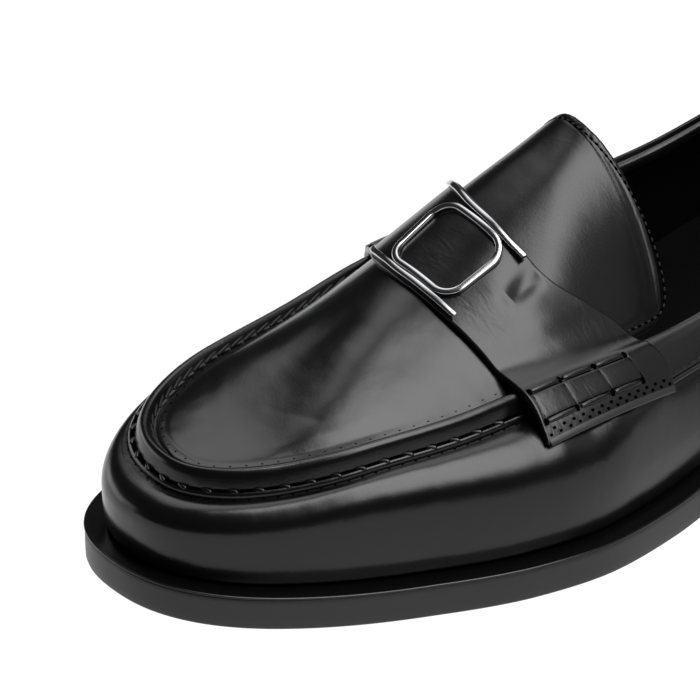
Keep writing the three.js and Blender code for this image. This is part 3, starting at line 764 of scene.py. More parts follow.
BLACK = (0.0025, 0.0025, 0.0026)
UPPER = polished_leather("upper_black", BLACK, 0.225, 0.02, 0.6)
TONGUE = polished_leather("tongue_black", BLACK, 0.26, 0.04, 0.4, 0.5)
STRAP = polished_leather("strap_black", BLACK, 0.24, 0.03, 0.35, 0.9)
TRIM = polished_leather("trim_black", (0.004, 0.004, 0.0041), 0.3, 0.02, 0.2)
LINING = lining_leather("lining_black", (0.0012, 0.0012, 0.0012))
SOCK = lining_leather("sock_black", (0.0016, 0.0016, 0.0016))
RIM = polished_leather("rim_black", (0.003, 0.003, 0.003), 0.2, 0.01, 0.1)
SOLE = matt_rubber("sole_grey", (0.017, 0.017, 0.0175), 0.42, 0.02)
HEEL = matt_rubber("heel_grey", (0.015, 0.015, 0.0155), 0.45, 0.02)
EDGE = polished_leather("raw_edge", (0.02, 0.02, 0.02), 0.3, 0.01, 0.1)
RAW = lining_leather("cut_edge", (0.012, 0.012, 0.012))
THREAD = thread_cotton("thread_black", (0.008, 0.008, 0.008))
# Painted shade for the stitch holes, seam pits, pinholes, ladder slits and cord outlines
PAINTED_HOLE_SHADE = deep_shadow("hole_shade_paint", (0.0008, 0.0008, 0.0008))
METAL = polished_metal("gunmetal", (0.42, 0.42, 0.43))


# The turns of every ring: one column on each side lies right at the throat
crest_length = LENGTH - CREST_SETBACK - COLLAR_SETBACK
throat_turn = math.acos(1 - 2 * (THROAT_X - CREST_SETBACK) / crest_length)
near_turns = np.concatenate([
    np.linspace(0, throat_turn, FRONT + 1)[:-1],
    np.linspace(throat_turn, np.pi, REAR + 1)])
TURNS = np.concatenate([near_turns, 2 * np.pi - near_turns[-2:0:-1]])


# Sole

def rings(body, profile, height):
    """Rings of the outline, each inset by so much and so far above the given height."""
    edges = [(*sole_edge(TURNS, inset), up) for inset, up in profile]
    rows = [body.add(spot(x, y, height(x) + up)) for x, y, up in edges]
    body.grid(rows, True)
    return rows


def outsole():
    body = Body()
    side = SOLE_THICK - 0.75
    rows = rings(body, [
        (7.4, 0.7), (7.0, 0.62), (6.8, 0.3), (6.6, 0.05), (6.2, 0), (0.8, 0), (0.42, 0.1),
        (0.14, 0.34), (0, 0.8), (-0.04, 2.4), (-0.04, side - 1.2), (0, side - 0.15), (0.1, side),
        (0.35, side + 0.12), (0.4, side + 0.2), (WELT_WIDTH, side + 0.2)], sole_bottom)
    body.cap(rows[0])
    body.cap(rows[-1])
    return make("sole_unit", body, "sole_rubber", SOLE, replaces=("outsole",))


def welt():
    body = Body()
    rows = rings(body, [
        (0.35, -0.62), (0.05, -0.62), (-0.12, -0.54), (-0.22, -0.36), (-0.2, -0.16),
        (-0.06, -0.02), (0.18, 0.04), (0.55, 0.0), (1.2, -0.06), (3.0, -0.08), (WELT_WIDTH, -0.02),
        (WELT_WIDTH, -0.5)], lambda x: sole_bottom(x) + SOLE_THICK)
    body.band(rows[-1], rows[0], True)
    return make("welt_rim", body, "welt_rubber", RIM, replaces=("welt",))


def heel_ring(inset, steps=60):
    start = HEEL_START * LENGTH
    x = mix(start, LENGTH - inset, np.sin(np.linspace(0, np.pi / 2, steps + 1)))
    lateral, medial = sole_sides(x, inset)
    return np.concatenate([x, x[-2::-1]]), np.concatenate([lateral, medial[-2::-1]])


def heel_piece(name, node, *profile):
    body = Body()
    edges = [(*heel_ring(inset), height) for inset, height in profile]
    rows = [body.add(spot(x, y, height(x))) for x, y, height in edges]
    body.grid(rows, True)
    for ring in (rows[0], rows[-1]):
        last = len(ring) - 1
        for i in range(last // 2):
            body.face((ring[i], ring[i + 1], ring[last - i - 1], ring[last - i]))
    return make(name, body, "sole_rubber", HEEL, replaces=(node,))


def heel():
    heel_piece("heel_stack", "heel_block",
               (HEEL_TAPER + 0.3, lambda x: LIFT_THICK + 0.05),
               (HEEL_TAPER, lambda x: LIFT_THICK + 0.35),
               (mix(HEEL_TAPER, SEAT_TAPER, 0.5), lambda x: mix(LIFT_THICK, sole_bottom(x), 0.5)),
               (SEAT_TAPER, lambda x: sole_bottom(x) - 0.05))
    heel_piece("heel_lift", "top_lift",
               (6.6, lambda x: 0.7), (6.2, lambda x: 0.0),
               (HEEL_TAPER + LIFT_INSET, lambda x: 0.0),
               (HEEL_TAPER + 0.15, lambda x: 0.2), (HEEL_TAPER, lambda x: LIFT_INSET),
               (HEEL_TAPER, lambda x: LIFT_THICK - 0.3), (HEEL_TAPER + 0.3, lambda x: LIFT_THICK))


TREAD_FIELDS = ((18.0, 118.0, sole_bottom), (202.0, 258.0, lambda x: 0 * x))
TREAD_MARGIN = 8.2
RIB_PITCH = 4.2
RIB_BOW = 2.2
RIB_WAVE = 36.0
RIB_SHORTEST = 6.0
RIB_SECTION = ((-1.1, 0.75), (-0.85, 0.0), (0.85, 0.0), (1.1, 0.75))


def tread():
    """Ribs that fill the sunk fields of the sole and the heel down to the floor."""
    body = Body()
    for start, end, height in TREAD_FIELDS:
        for x in np.arange(start, end, RIB_PITCH):
            lateral, medial = (side[0] for side in sole_sides(np.array([x]), TREAD_MARGIN))
            if medial - lateral < RIB_SHORTEST:
                continue
            y = np.linspace(lateral, medial, 15)
            bow = x + RIB_BOW * np.cos((y - (lateral + medial) / 2) * 2 * np.pi / RIB_WAVE)
            sweep(body, np.stack([spot(bow + dx, y, height(bow + dx) + dz)
                                  for dx, dz in RIB_SECTION], 1), False)
    return make("tread_ribs", body, "sole_rubber", SOLE, sharp=30)


def insole():
    body = Body()
    half = COLUMNS // 2
    x, y = feather_edge(TURNS, WALL + GAP)
    ring = spot(x, y, sole_bottom(x) + SOLE_THICK + GAP)
    low = body.add(ring)
    top = body.add(ring + spot(0, 0, INSOLE_THICK + SOCK_CURL))
    body.band(low, top, True)
    body.cap(low)
    across = np.linspace(-1, 1, 25)[1:-1]
    before = np.full(25, top[0])
    for i in range(1, half + 1):
        a, b = ring[i], ring[(COLUMNS - i) % COLUMNS]
        between = mix(a, b, ((1 + across) / 2)[:, None])
        between[:, 2] += INSOLE_THICK + SOCK_CURL * across**4 - SOCK_DISH * (1 - across**2)
        if i < half:
            line = np.concatenate([[top[i]], body.add(between), [top[COLUMNS - i]]])
        else:
            line = np.full(25, top[half])
        body.band(before, line)
        before = line
    return make("sock", body, "insole_leather", SOCK, replaces=("insole",))


# Upper

VAMP_CREASES = [
    (0.335, -0.98, 0.345, -0.80, 3.0, 0.25),
    (0.365, -1.00, 0.372, -0.82, 3.5, -0.25),
    (0.30, 0.86, 0.31, 0.72, 4.0, -0.25),
]
APRON_CREASES = [
    (0.155, -0.05, 0.235, 0.10, 9.0, -0.35),
    (0.20, -0.40, 0.30, -0.38, 6.0, 0.25),
    (0.175, -0.26, 0.325, 0.13, 9.5, 2.0),
]
TONGUE_CREASES = [
    (0.41, -0.64, 0.515, -0.60, 5.0, -0.4),
]

# The faint line inside the apron's seam: how far in, its width and depth
MARGIN_LINE = (4.7, 0.7, 0.09)
# The groove of the seam at the back: its width and depth
BACK_SEAM = (0.7, 0.45)
# The tongue's lateral fall: its depth, a place on its shoulder in shares of the
# length and the ball's width, and the way down from there
TONGUE_FALL = 4.2
FALL_FROM = np.array((0.483, -0.031))
FALL_WAY = np.array((190.0, -67.0))


def upper_rows():
    """Rows of the outside from the welt up to the apron's edge, and of the inside down."""
    base = WallBase(TURNS, 0)
    outer = [base.under(part) for part in np.linspace(0, 1, 9)[:-1]]
    outer += [wall_point(TURNS, part, 0) for part in np.linspace(0, 0.97, 40)]
    outer += [ridge_point(TURNS, row, 0, 0) for row in RIDGE]
    inner = [ridge_point(TURNS, RIDGE[-1], WALL * 0.1, WALL),
             ridge_point(TURNS, RIDGE_UNDER, 0, 0)]
    inner += [wall_point(TURNS, part, WALL) for part in np.linspace(1, 0, 14)]
    inner += [WallBase(TURNS, WALL).under(0.0)]
    return np.stack(outer), np.stack(inner)


def lid_relief(points):
    """Unevenness of the apron, and the faint line of its margin beside the seam."""
    edge = crest_point(np.linspace(0, 2 * np.pi, 721)[:-1], 0, 0)
    away = nearest(points, edge[edge[:, 0] < THROAT_X + 20, :2])
    relief = creases(points, APRON_CREASES)
    relief += ripple(points, 26, 0.10, 3) + ripple(points, 9, 0.03, 21)
    line, width, depth = MARGIN_LINE
    return relief * ease(APRON_IN, APRON_IN + 6, away) - depth * groove(away - line, width)


def upper():
    outer, inner = upper_rows()
    normals = normals_of(outer, True)
    if normals[20, 5, 0] > 0:
        normals = -normals
    fade = np.ones(len(outer))
    fade[-len(RIDGE) - 2:] = 0
    relief = creases(outer, VAMP_CREASES) + ripple(outer, 42, 0.10, 5)
    width, depth = BACK_SEAM
    relief -= depth * groove(outer[..., 1], width) * ease(200, 220, outer[..., 0])
    height = outer[..., 2] - (sole_bottom(outer[..., 0]) + SOLE_THICK)
    relief *= fade[:, None] * ease(0, 8, height)
    outer = outer + normals * relief[..., None]

    body = Body()
    over = body.add(outer)
    under = body.add(inner)
    body.grid(over, True)
    body.grid(under, True, kind=1)
    body.band(under[-1], over[0], True)

    across = np.linspace(-1, 1, ACROSS + 1)[1:-1]
    for ring, lift, kind in ((over[-1], 0.0, 0), (under[0], -WALL, 1)):
        before = np.full(ACROSS + 1, ring[0])
        edge_x = outer[-1, :, 0] if kind == 0 else inner[0, :, 0]
        xs = edge_x[1:FRONT + 1]
        grid = lid_lifted(xs[:, None], across[None], lift)
        if kind == 0:
            grid = grid + lid_rise(xs[:, None], across[None]) * lid_relief(grid)[..., None]
        index = body.add(grid)
        for i in range(1, FRONT + 1):
            line = np.concatenate([[ring[i]], index[i - 1], [ring[COLUMNS - i]]])
            body.band(before, line, kind=kind)
            before = line
        if kind == 0:
            front_line = before
        else:
            body.band(before, front_line)
    collar = slice(FRONT, COLUMNS - FRONT + 1)
    body.band(over[-1][collar], under[0][collar])
    return make("upper_shell", body, "upper_leather", UPPER, LINING, replaces=("upper",))


def tongue_outline(rows, cells):
    """The tongue's plan: rows away from the strap, each from side to side."""
    start = THROAT_X + 0.25
    away = TONGUE_REACH * (1 - np.sin(np.linspace(0, np.pi / 2 * 0.9995, rows + 1)))
    part = np.clip(away / TONGUE_CORNER, 0, 1)
    around = (1 - (1 - part) ** TONGUE_FULL) ** (1 / TONGUE_FULL)
    across = TONGUE_SPAN * around[:, None] * np.linspace(-1, 1, cells + 1)[None]
    x = (start + TONGUE_REACH - away)[:, None] + 0 * across
    dip = TONGUE_DIP * (1 - across**2) * ease(0, TONGUE_REACH, x - start)
    return x - dip, across


def tongue_edge(rows):
    sides = lid_point(*tongue_outline(rows, 2))
    return np.concatenate([sides[:, 0], sides[::-1, 2]])


def tongue_margin(points):
    """How far each point of the tongue lies inside its free edge."""
    return nearest(points, tongue_edge(160))


def tongue_fall(points):
    """The lateral part of the tongue hangs lower, past a soft shoulder."""
    past = (points[..., :2] / (LENGTH, BALL_WIDTH) - FALL_FROM) @ FALL_WAY
    return -TONGUE_FALL * ease(-6, 20, past)


def tongue():
    x, across = tongue_outline(90, 90)
    grid = lid_point(x, across)
    rise = lid_rise(x, across)
    relief = creases(grid, TONGUE_CREASES) + ripple(grid, 24, 0.08, 8) + tongue_fall(grid)
    margin = tongue_margin(grid)
    relief -= 0.10 * groove(margin - STITCH_MARGIN, 0.5)
    curl = ease(-18, -10, grid[..., 1]) * ease(16, 10, grid[..., 1])
    relief += 0.2 * groove(margin, 3.0) * curl
    grid = grid + rise * (relief * ease(THROAT_X, THROAT_X + 8, x))[..., None]
    return padded_sheet("tongue_flap", grid - rise * TONGUE_THICK, rise, TONGUE_THICK, 0.5,
                        "upper_leather", TONGUE, RAW, ("tongue",))


# Strap

def strap_end(x, lateral):
    """Where the strap ends on the side, at each x."""
    progress = (x - CREST_SETBACK) / crest_length
    for _ in range(6):
        angle = np.arccos(np.clip(1 - 2 * progress, -1, 1))
        turn = angle if lateral else 2 * np.pi - angle
        base = WallBase(turn, 0)
        height = crest_point(turn, 0, STRAP_DROP)[..., 2]
        seam = base.at_height(crest_point(turn, -3.7, 5.7), height)
        plain = base.at_height(crest_point(turn, 0, 0), height)
        point = mix(seam, plain, collar_part(x)[..., None])
        progress = progress + (x - point[..., 0]) / crest_length
    return point


def girth_row(x, girth):
    if abs(girth) < SEAM_GIRTH:
        return lid_point(x, girth)
    lateral = girth < 0
    crest = crest_at(x, np.full(x.shape, lateral), 0, 0)
    share = (x - x[0]) / (x[-1] - x[0])
    part = max(abs(girth) - 1, 0) * (1 - STRAP_ARCH * np.sin(np.pi * share))
    end = strap_end(x, lateral)
    return spot(x, mix(crest[..., 1], end[..., 1], part**STRAP_BOW),
                mix(crest[..., 2], end[..., 2], part))


def smooth_rows(rows, count):
    """More rows along a smooth curve through the given ones, evenly spaced along it."""
    gaps = np.linalg.norm(np.diff(rows, axis=0), axis=-1).mean(1)
    run = np.concatenate([[0], np.cumsum(gaps)])
    rates = np.diff(rows, axis=0) / gaps[:, None, None]
    share = (gaps[1:] / (gaps[:-1] + gaps[1:]))[:, None, None]
    inner = mix(rates[1:], rates[:-1], share)
    slopes = np.concatenate([rates[:1], inner, rates[-1:]])
    places = np.linspace(0, run[-1], count)
    i = np.clip(np.searchsorted(run, places) - 1, 0, len(rows) - 2)
    span = gaps[i][:, None, None]
    u = (places - run[i])[:, None, None] / span
    return curve(rows[i], rows[i + 1], slopes[i], slopes[i + 1], span, u)


STRAP_CREASES = [
    (0.372, -0.34, 0.375, -0.62, 8.0, 0.3),
    (0.372, -0.322, 0.405, -0.300, 2.2, -0.9),
]
STRAP_FALL = 1.6
STRAP_ROWS = 320
STRAP_CELLS = 110

# The open stitch work near each end: part counts from the end (0) to the middle
# of the instep (1), share from the strap's front edge (0) to its rear edge (1)
LADDER_TOP = 0.205
LADDER_LOW = 0.078
LADDER_SHARES = (0.03, 0.262, 0.535, 0.782)
LADDER_CELLS = tuple(zip(LADDER_SHARES[:-1], LADDER_SHARES[1:]))
PIN_PARTS = (0.026, 0.046)


def ladder_relief(part, share):
    """Soft cushions between the slits, and the slits themselves."""
    inside = ease(LADDER_LOW, LADDER_LOW + 0.03, part) * ease(LADDER_TOP, LADDER_TOP - 0.03, part)
    relief = np.zeros(np.broadcast(part, share).shape)
    for low, high in LADDER_CELLS:
        span = np.clip((share - low) / (high - low), 0, 1)
        relief += 0.06 * np.sin(np.pi * span) ** 0.8 * inside
    for place in LADDER_SHARES:
        relief -= 0.04 * groove(share - place, 0.011) * inside
    for level in (LADDER_LOW, LADDER_TOP):
        along = ease(0, 0.03, share) * ease(0.80, 0.77, share)
        relief -= 0.22 * groove(part - level, 0.014) * along
    return relief


def strap_surface():
    shares = np.linspace(0, 1, STRAP_CELLS + 1)
    coarse = []
    for girth in STRAP_STATIONS:
        front = STRAP_PLAN.at("front", girth) * LENGTH
        rear = STRAP_PLAN.at("rear", girth) * LENGTH
        row = girth_row(mix(front, rear, shares), girth)
        if abs(girth) > 1.2:
            fit = np.stack([np.polyval(np.polyfit(shares, row[:, k], 2), shares)
                            for k in range(3)], -1)
            row = mix(row, fit, ease(1.2, 1.7, abs(girth)))
        coarse.append(row)
    grid = smooth_rows(np.stack(coarse), STRAP_ROWS + 1)
    normals = normals_of(grid, False)
    if normals[STRAP_ROWS // 2, STRAP_CELLS // 2, 2] < 0:
        normals = -normals
    side = np.linspace(-1, 1, STRAP_ROWS + 1)[:, None]
    part = 1 - np.abs(side)
    relief = creases(grid, STRAP_CREASES) + ripple(grid, 22, 0.06, 12)
    lateral = (side < 0) * ease(0.95, 0.7, part) * ease(0.2, 0.32, part)
    relief -= STRAP_FALL * ease(0.48, 1.25, shares[None]) * lateral
    relief += ladder_relief(part, shares[None])
    return grid + normals * (STRAP_LIFT + relief)[..., None], normals


def saddle_strap():
    grid, normals = strap_surface()
    return padded_sheet("strap_sheet", grid, normals, STRAP_THICK, 0.35,
                        "trim_leather", STRAP, STRAP, ("saddle_strap",))


# Ornament

STRAP_FACE = STRAP_LIFT + STRAP_THICK


def rail(name, node, column, direction, start):
    across = np.linspace(start, RAIL_TO, 90)
    x = STRAP_PLAN.at(column, across) * LENGTH + direction * (RAIL_INSET + RAIL_WIDTH / 2)
    points = lid_lifted(x, across, STRAP_FACE + RAIL_HEIGHT / 2 + 0.1)
    body = Body()
    sweep(body, bar(points, lid_rise(x, across), RAIL_WIDTH, RAIL_HEIGHT, 16, 0.4), False)
    return make(name, body, "ornament_metal", METAL, replaces=(node,))


def link():
    front = STRAP_PLAN.at("front", LINK_MIDDLE) * LENGTH
    rear = STRAP_PLAN.at("rear", LINK_MIDDLE) * LENGTH
    middle = (front + rear) / 2
    half_x = (rear - front) / 2 - RAIL_INSET - RAIL_WIDTH - 0.1 - LINK_WIRE / 2
    half_y = (LINK_SPAN - LINK_WIRE) / 2
    corner = min(LINK_CORNER, half_x)
    plan = []
    for quarter, (sx, sy) in enumerate(((1, 1), (-1, 1), (-1, -1), (1, -1))):
        for angle in (quarter + np.linspace(0, 1, 13)) * np.pi / 2:
            plan.append((sx * (half_x - corner) + math.cos(angle) * corner,
                         sy * (half_y - corner) + math.sin(angle) * corner))
    plan = np.array(plan + plan[:1])
    run = run_along(plan)
    marks = np.linspace(0, run[-1], 161)[:-1]
    x = middle + np.interp(marks, run, plan[:, 0])
    per_mm = 0.02 / (lid_point(middle, LINK_MIDDLE + 0.02) - lid_point(middle, LINK_MIDDLE))[1]
    across = LINK_MIDDLE + np.interp(marks, run, plan[:, 1]) * per_mm
    points = lid_lifted(x, across, STRAP_FACE + LINK_WIRE * 0.4 - 0.15)
    up = lid_rise(x, across)
    wide = np.concatenate([points[-2:], points, points[:2]])
    raised = np.concatenate([up[-2:], up, up[:2]])
    body = Body()
    sweep(body, bar(wide, raised, LINK_WIRE, LINK_WIRE * 0.8, 20, 0.6)[2:-2], True)
    return make("link_frame", body, "ornament_metal", METAL, replaces=("ornament_link",))


# Collar

def collar_run(first):
    return TURNS[first:COLUMNS - first + 1]


def collar_band():
    """The binding's section: inset in shares of its thickness, and down in its depth."""
    turns = collar_run(FRONT + 10)
    section = [
        (0.55, 1.0), (0.12, 1.0), (0, 0.97), (-0.05, 0.8), (-0.05, 0.5), (0, 0.3), (-0.12, 0.2),
        (-0.22, 0.12), (-0.12, 0.04), (0.15, -0.02), (0.5, -0.03), (0.85, 0.0), (1.0, 0.06),
        (1.0, 0.3), (1.0, 0.6), (1.0, 1.0)]
    rows = np.stack([collar_point(turns, inset * BAND_THICK, depth * BAND_DEPTH)
                     for inset, depth in section], 1)
    body = Body()
    sweep(body, rows, False)
    return make("collar_binding", body, "trim_leather", TRIM, replaces=("collar_band",))


def collar_piping():
    turns = collar_run(FRONT + 11)
    depth = BAND_DEPTH * 1.02
    points = collar_point(turns, -0.15, depth)
    inner = collar_point(turns, 1.0, depth)
    body = Body()
    sweep(body, bar(points, points - inner, 1.1, 1.1, 12, 1.0), False)
    return make("collar_piping", body, "trim_leather", TRIM)


# Stitches, and dark blobs of painted shade in holes, pits and slits

# Each line along the seam: how far out from the crest and how far down from it
SEAM_LINE = (2.2, 4.25)
LIP_LINE = (3.42, 5.66)
WHIP_LINE = (-1.62, 1.45)
MARGIN_PIN_LINE = (-3.6, 0)

# Each stitch or hole: its length, width and height, and its pitch. The pits and holes are dark
# blobs of painted shade.
SEAM_PIT = (4.9, 1.5, 0.9)
SEAM_TIE = (3.0, 1.3, 1.25)
SEAM_PITCH = 5.7
LIP_PIN = (0.6, 0.35, 0.25)
LIP_PITCH = 3.2
WHIP_STITCH = (4.3, 0.7, 0.6)
WHIP_PITCH = 4.0
MARGIN_PIN = (0.5, 0.4, 0.12)
MARGIN_PITCH = 3.5
TONGUE_STITCH = (1.0, 0.5, 0.4)
TONGUE_HOLE = (1.15, 0.62, 0.45)
TONGUE_PITCH = 1.9
COLLAR_STITCH = (1.9, 0.45, 0.4)
COLLAR_PITCH = 2.6
BACK_STITCH = (2.0, 0.45, 0.4)
BACK_PITCH = 2.8
RAW_EDGE = 1.7


def seam_path(out, down, front_limit=0.325):
    """A line beside the crest, round the toe from one end of the strap to the other."""
    turn = np.linspace(-throat_turn, throat_turn, 1200)
    points = crest_point(turn % (2 * np.pi), -out, down)
    stop = np.where(np.sin(turn) >= 0, front_limit, front_limit + 0.04) * LENGTH
    return points[points[:, 0] < stop]


def outward(path):
    """Across a seam path, level and away from the apron."""
    ahead = unit(np.gradient(path, axis=0))
    side = unit(np.cross(ahead, UP))
    middle = np.array((70.0, 2.0, 0))
    away = np.sum(side * (path - middle) * np.array((1, 1, 0)), axis=1)
    return side * np.sign(away)[:, None]


def seam_stitches():
    path = seam_path(*SEAM_LINE)
    spots, run = paced(path, SEAM_PITCH)
    up = outward(spots) * 0.6 + UP
    # Painted shade: dark lens-shaped blobs in the channel where the shade between the stitches
    # lies
    threads("seam_pit_shade", spots - up * 0.1, run, up, SEAM_PIT, "trim_leather", PAINTED_HOLE_SHADE, 9, 12)
    spots, run = paced(path, SEAM_PITCH, 0.0)
    level = outward(spots)
    threads("seam_stitches", spots, run * 0.9 + level * 0.45, level * 0.6 + UP, SEAM_TIE,
            "upper_leather", UPPER, 9, 12)
    spots, run = paced(seam_path(*LIP_LINE), LIP_PITCH)
    # Painted shade: dark dots for the shade inside the pinholes along the lip
    threads("lip_pinhole_shade", spots, run, outward(spots) + UP, LIP_PIN, "trim_leather", PAINTED_HOLE_SHADE)
    spots, run = paced(seam_path(*WHIP_LINE), WHIP_PITCH)
    level = outward(spots)
    threads("whip_stitches", spots, run - level * 0.16 - UP * 0.16, UP * 0.8 - level, WHIP_STITCH,
            "upper_leather", THREAD, 9)
    spots, run = paced(seam_path(*MARGIN_PIN_LINE), MARGIN_PITCH)
    # Painted shade: dark dots for the shade inside the pinholes of the apron's margin
    threads("margin_pinhole_shade", on_lid(spots)[0], run, np.tile(UP, (len(spots), 1)), MARGIN_PIN,
            "trim_leather", PAINTED_HOLE_SHADE)


def tongue_stitches():
    edge = tongue_edge(200)
    ahead = unit(np.gradient(edge[:, :2], axis=0))
    inwards = np.stack([-ahead[:, 1], ahead[:, 0]], -1)
    if (inwards[0] @ (edge[len(edge) // 4:, :2].mean(0) - edge[0, :2])) < 0:
        inwards = -inwards
    plan = edge[:, :2] + inwards * STITCH_MARGIN
    plan = plan[plan[:, 0] > 0.42 * LENGTH]
    line = on_lid(plan)[0]
    spots, run = paced(line, TONGUE_PITCH)
    up = on_lid(spots)[1]
    threads("tongue_stitches", spots - up * 0.05, run, up, TONGUE_STITCH, "trim_leather", THREAD)
    gaps, gap_run = paced(line, TONGUE_PITCH, 0.0)
    # Painted shade: dark blobs for the shade in the stitch holes between the tongue's stitches
    threads("tongue_hole_shade", gaps - up * 0.1, gap_run, up, TONGUE_HOLE, "trim_leather", PAINTED_HOLE_SHADE)


def strap_stitches():
    """The open stitch work at both ends of the strap, in the strap's own directions."""
    grid, normals = strap_surface()
    faces = grid + normals * STRAP_THICK
    for side, top, out in (("lateral", faces, normals),
                           ("medial", faces[::-1], normals[::-1])):

        def place(part, share):
            r, c = part * STRAP_ROWS / 2, share * STRAP_CELLS
            i, k = int(min(r, STRAP_ROWS - 1)), int(min(c, STRAP_CELLS - 1))
            near = mix(top[i, k], top[i + 1, k], r - i)
            return mix(near, mix(top[i, k + 1], top[i + 1, k + 1], r - i), c - k), out[i, k]

        def lay(name, ends, width, height, paint, sink=0.0):
            spots, runs, ups = [], [], []
            for a, b in ends:
                (pa, na), (pb, nb) = place(*a), place(*b)
                spots.append((pa + pb) / 2 - (na + nb) / 2 * sink)
                runs.append(pb - pa)
                ups.append(na + nb)
            length = np.linalg.norm(np.array(runs), axis=1).mean()
            threads(f"{name}_{side}", np.array(spots), np.array(runs), np.array(ups),
                    (length, width, height), "trim_leather", paint, 9, 10)

        levels = (LADDER_TOP, LADDER_LOW)
        lay("ladder_cords", [((level, low + 0.012), (level, high - 0.012))
                             for level in levels for low, high in LADDER_CELLS],
            1.45, 1.35, STRAP)
        # Painted shade: thin dark strips along the feet of the cords
        lay("ladder_outline_shade", [((level, low), (level, high))
                                for level in (LADDER_TOP - 0.013, LADDER_LOW + 0.013)
                                for low, high in LADDER_CELLS], 0.35, 0.3, PAINTED_HOLE_SHADE)
        # Painted shade: dark strips for the shade inside the slits
        lay("ladder_slit_shade", [((LADDER_TOP - 0.02, at), (LADDER_LOW + 0.015, at + 0.004))
                             for at in LADDER_SHARES], 0.45, 0.34, PAINTED_HOLE_SHADE, -0.02)
        # Painted shade: dark blobs for the shade in the holes at the ends of the slits
        lay("ladder_corner_shade", [((level + 0.012, at), (level - 0.012, at))
                               for level in levels for at in LADDER_SHARES], 1.0, 0.9, PAINTED_HOLE_SHADE)
        pins = [(PIN_PARTS[k % 2], at) for k, at in enumerate(np.linspace(0.03, 0.97, 27))]
        # Painted shade: dark dots for the shade inside the strap's pinholes
        lay("strap_pinhole_shade", [((part, at - 0.011), (part, at + 0.011)) for part, at in pins],
            0.75, 0.3, PAINTED_HOLE_SHADE)
        edge = top[0] - out[0] * 0.6
        body = Body()
        sweep(body, bar(edge[1:-1], out[0, 1:-1], RAW_EDGE, RAW_EDGE, 16, 0.45), False)
        make(f"raw_edge_{side}", body, "trim_leather", EDGE)


def collar_stitches():
    turns = collar_run(FRONT + 12)
    depth = BAND_DEPTH * 0.84
    spots, run = paced(collar_point(turns, -0.1, depth), COLLAR_PITCH)
    inner, _ = paced(collar_point(turns, 1.0, depth), COLLAR_PITCH)
    count = min(len(spots), len(inner))
    threads("collar_stitches", spots[:count], run[:count], spots[:count] - inner[:count],
            COLLAR_STITCH, "trim_leather", THREAD)


def back_stitches():
    lines = []
    for side in (-1.6, 1.6):
        turn = np.pi - side / 60
        heights = np.linspace(BAND_DEPTH * 1.3, 46, 60)
        points = np.stack([collar_point(np.array(turn), -0.05, h) for h in heights])
        lines.append(paced(points, BACK_PITCH))
    spots = np.concatenate([a for a, _ in lines])
    run = np.concatenate([b for _, b in lines])
    threads("back_stitches", spots, run, np.tile((1.0, 0, 0.1), (len(spots), 1)), BACK_STITCH,
            "upper_leather", THREAD)


# The camera: its heading and tip in degrees, the point in mm that it was set by and
# its distance in metres, then the focal length and the picture's centre, both in
# pixels of a picture 700 pixels wide
VIEW_TURN = 51.5
VIEW_TIP = 31.0
VIEW_AIM = (90.0, 0, 0)
VIEW_AWAY = 1.3
VIEW_FOCAL = 5720
VIEW_CENTRE = (-86.39, 139.05)

FLOOR_REACH = 6.0
FLOOR_DROP = 0.0002


def flat(name, corners, paint):
    """A flat sheet of the stage."""
    mesh = bpy.data.meshes.new(name)
    mesh.from_pydata([tuple(c) for c in corners], [], [(0, 1, 2, 3)])
    mesh.materials.append(paint.material)
    sheet = put(name, mesh)
    return sheet


def camera():
    data = bpy.data.cameras.new("camera")
    view = put("camera", data)
    turn, tip = math.radians(VIEW_TURN), math.radians(VIEW_TIP)
    look = Vector((math.cos(tip) * math.cos(turn), math.cos(tip) * math.sin(turn), -math.sin(tip)))
    view.location = Vector(metres(VIEW_AIM)[0]) - look * VIEW_AWAY
    straight = look.to_track_quat("-Z", "Y")
    aside = Vector((0, 0, -1)).rotation_difference(Vector((*VIEW_CENTRE, -VIEW_FOCAL)))
    view.rotation_euler = (straight @ aside).to_euler()
    data.sensor_width = 36
    data.lens = VIEW_FOCAL / 700 * data.sensor_width
    bpy.context.scene.camera = view


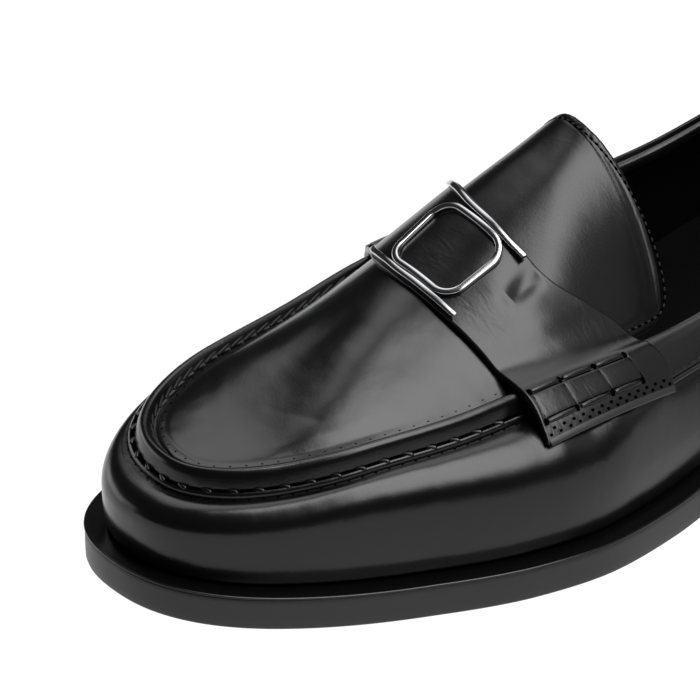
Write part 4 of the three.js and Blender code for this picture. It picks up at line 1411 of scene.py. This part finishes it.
def panel(name, centre, size, power, along=(0, 0, 1)):
    """A softbox, brightest in its middle and fading to its edges, facing the shoe."""
    aim = -unit(np.array(centre, float))
    side = unit(np.cross(aim, along))
    up = np.cross(side, aim)
    corners = [np.array(centre) + side * sx * size[0] / 2 + up * sy * size[1] / 2
               for sx, sy in ((-1, -1), (1, -1), (1, 1), (-1, 1))]
    paint = Paint(name + "_cloth", Roughness=1.0, Base_Color=(0, 0, 0, 1), Specular_IOR_Level=0.0)
    paint.shader.inputs["Emission Strength"].default_value = power
    where = paint.node("ShaderNodeTexCoord", output=2)
    fades = []
    for axis in (0, 1):
        part = paint.node("ShaderNodeSeparateXYZ", inputs={0: where}, output=axis)
        off = abs(part * 2 - 1)
        fades.append(paint.node("ShaderNodeMapRange", {"interpolation_type": "SMOOTHSTEP"}, {
            "Value": off, "From Min": 0.45, "From Max": 1.0, "To Min": 1.0, "To Max": 0.0}))
    paint.feed("Emission Color", paint.blend(fades[0] * fades[1], (0, 0, 0), (1, 1, 1)))
    box = flat(name, corners, paint)
    layer = box.data.uv_layers.new(name="cloth")
    for loop, corner in zip(layer.data, ((0, 0), (1, 0), (1, 1), (0, 1))):
        loop.uv = corner
    box.visible_camera = False


def studio():
    paint = Paint("floor_white", Roughness=0.9)
    paint.tint((0.04, 0.04, 0.04), 0.75, 1.25, paint.noise(0.002, 2))
    paint.shader.inputs["Emission Color"].default_value = (1, 1, 1, 1)
    paint.shader.inputs["Emission Strength"].default_value = 1.02
    flat("floor", [(x * FLOOR_REACH, y * FLOOR_REACH, -FLOOR_DROP)
                   for x, y in ((-1, -1), (1, -1), (1, 1), (-1, 1))], paint)

    world = bpy.data.worlds.new("studio")
    bpy.context.scene.world = world
    world.use_nodes = True
    air = world.node_tree.nodes["Background"].inputs
    air["Color"].default_value = (1, 1, 1, 1)
    air["Strength"].default_value = 0.04

    panel("key_softbox", (0.18, -0.56, 1.3), (0.86, 2.5), 8.0, (0.04, 1.0, 0))
    panel("back_softbox", (0.62, 0.85, 1.5), (1.7, 1.5), 2.4)
    panel("right_fill", (1.15, -0.75, 0.95), (1.6, 2.4), 0.55)
    panel("left_card", (-0.7, 1.4, 0.2), (1.8, 0.6), 2.3)

    scene = bpy.context.scene
    scene.view_settings.view_transform = "Standard"
    scene.view_settings.look = "None"


camera()
outsole()
welt()
heel()
tread()
insole()
upper()
tongue()
saddle_strap()
rail("rail_front", "ornament_rail_front", "front", 1, -0.40)
rail("rail_rear", "ornament_rail_rear", "rear", -1, -0.36)
link()
collar_band()
collar_piping()
seam_stitches()
tongue_stitches()
strap_stitches()
collar_stitches()
back_stitches()
studio()

bpy.context.view_layer.update()
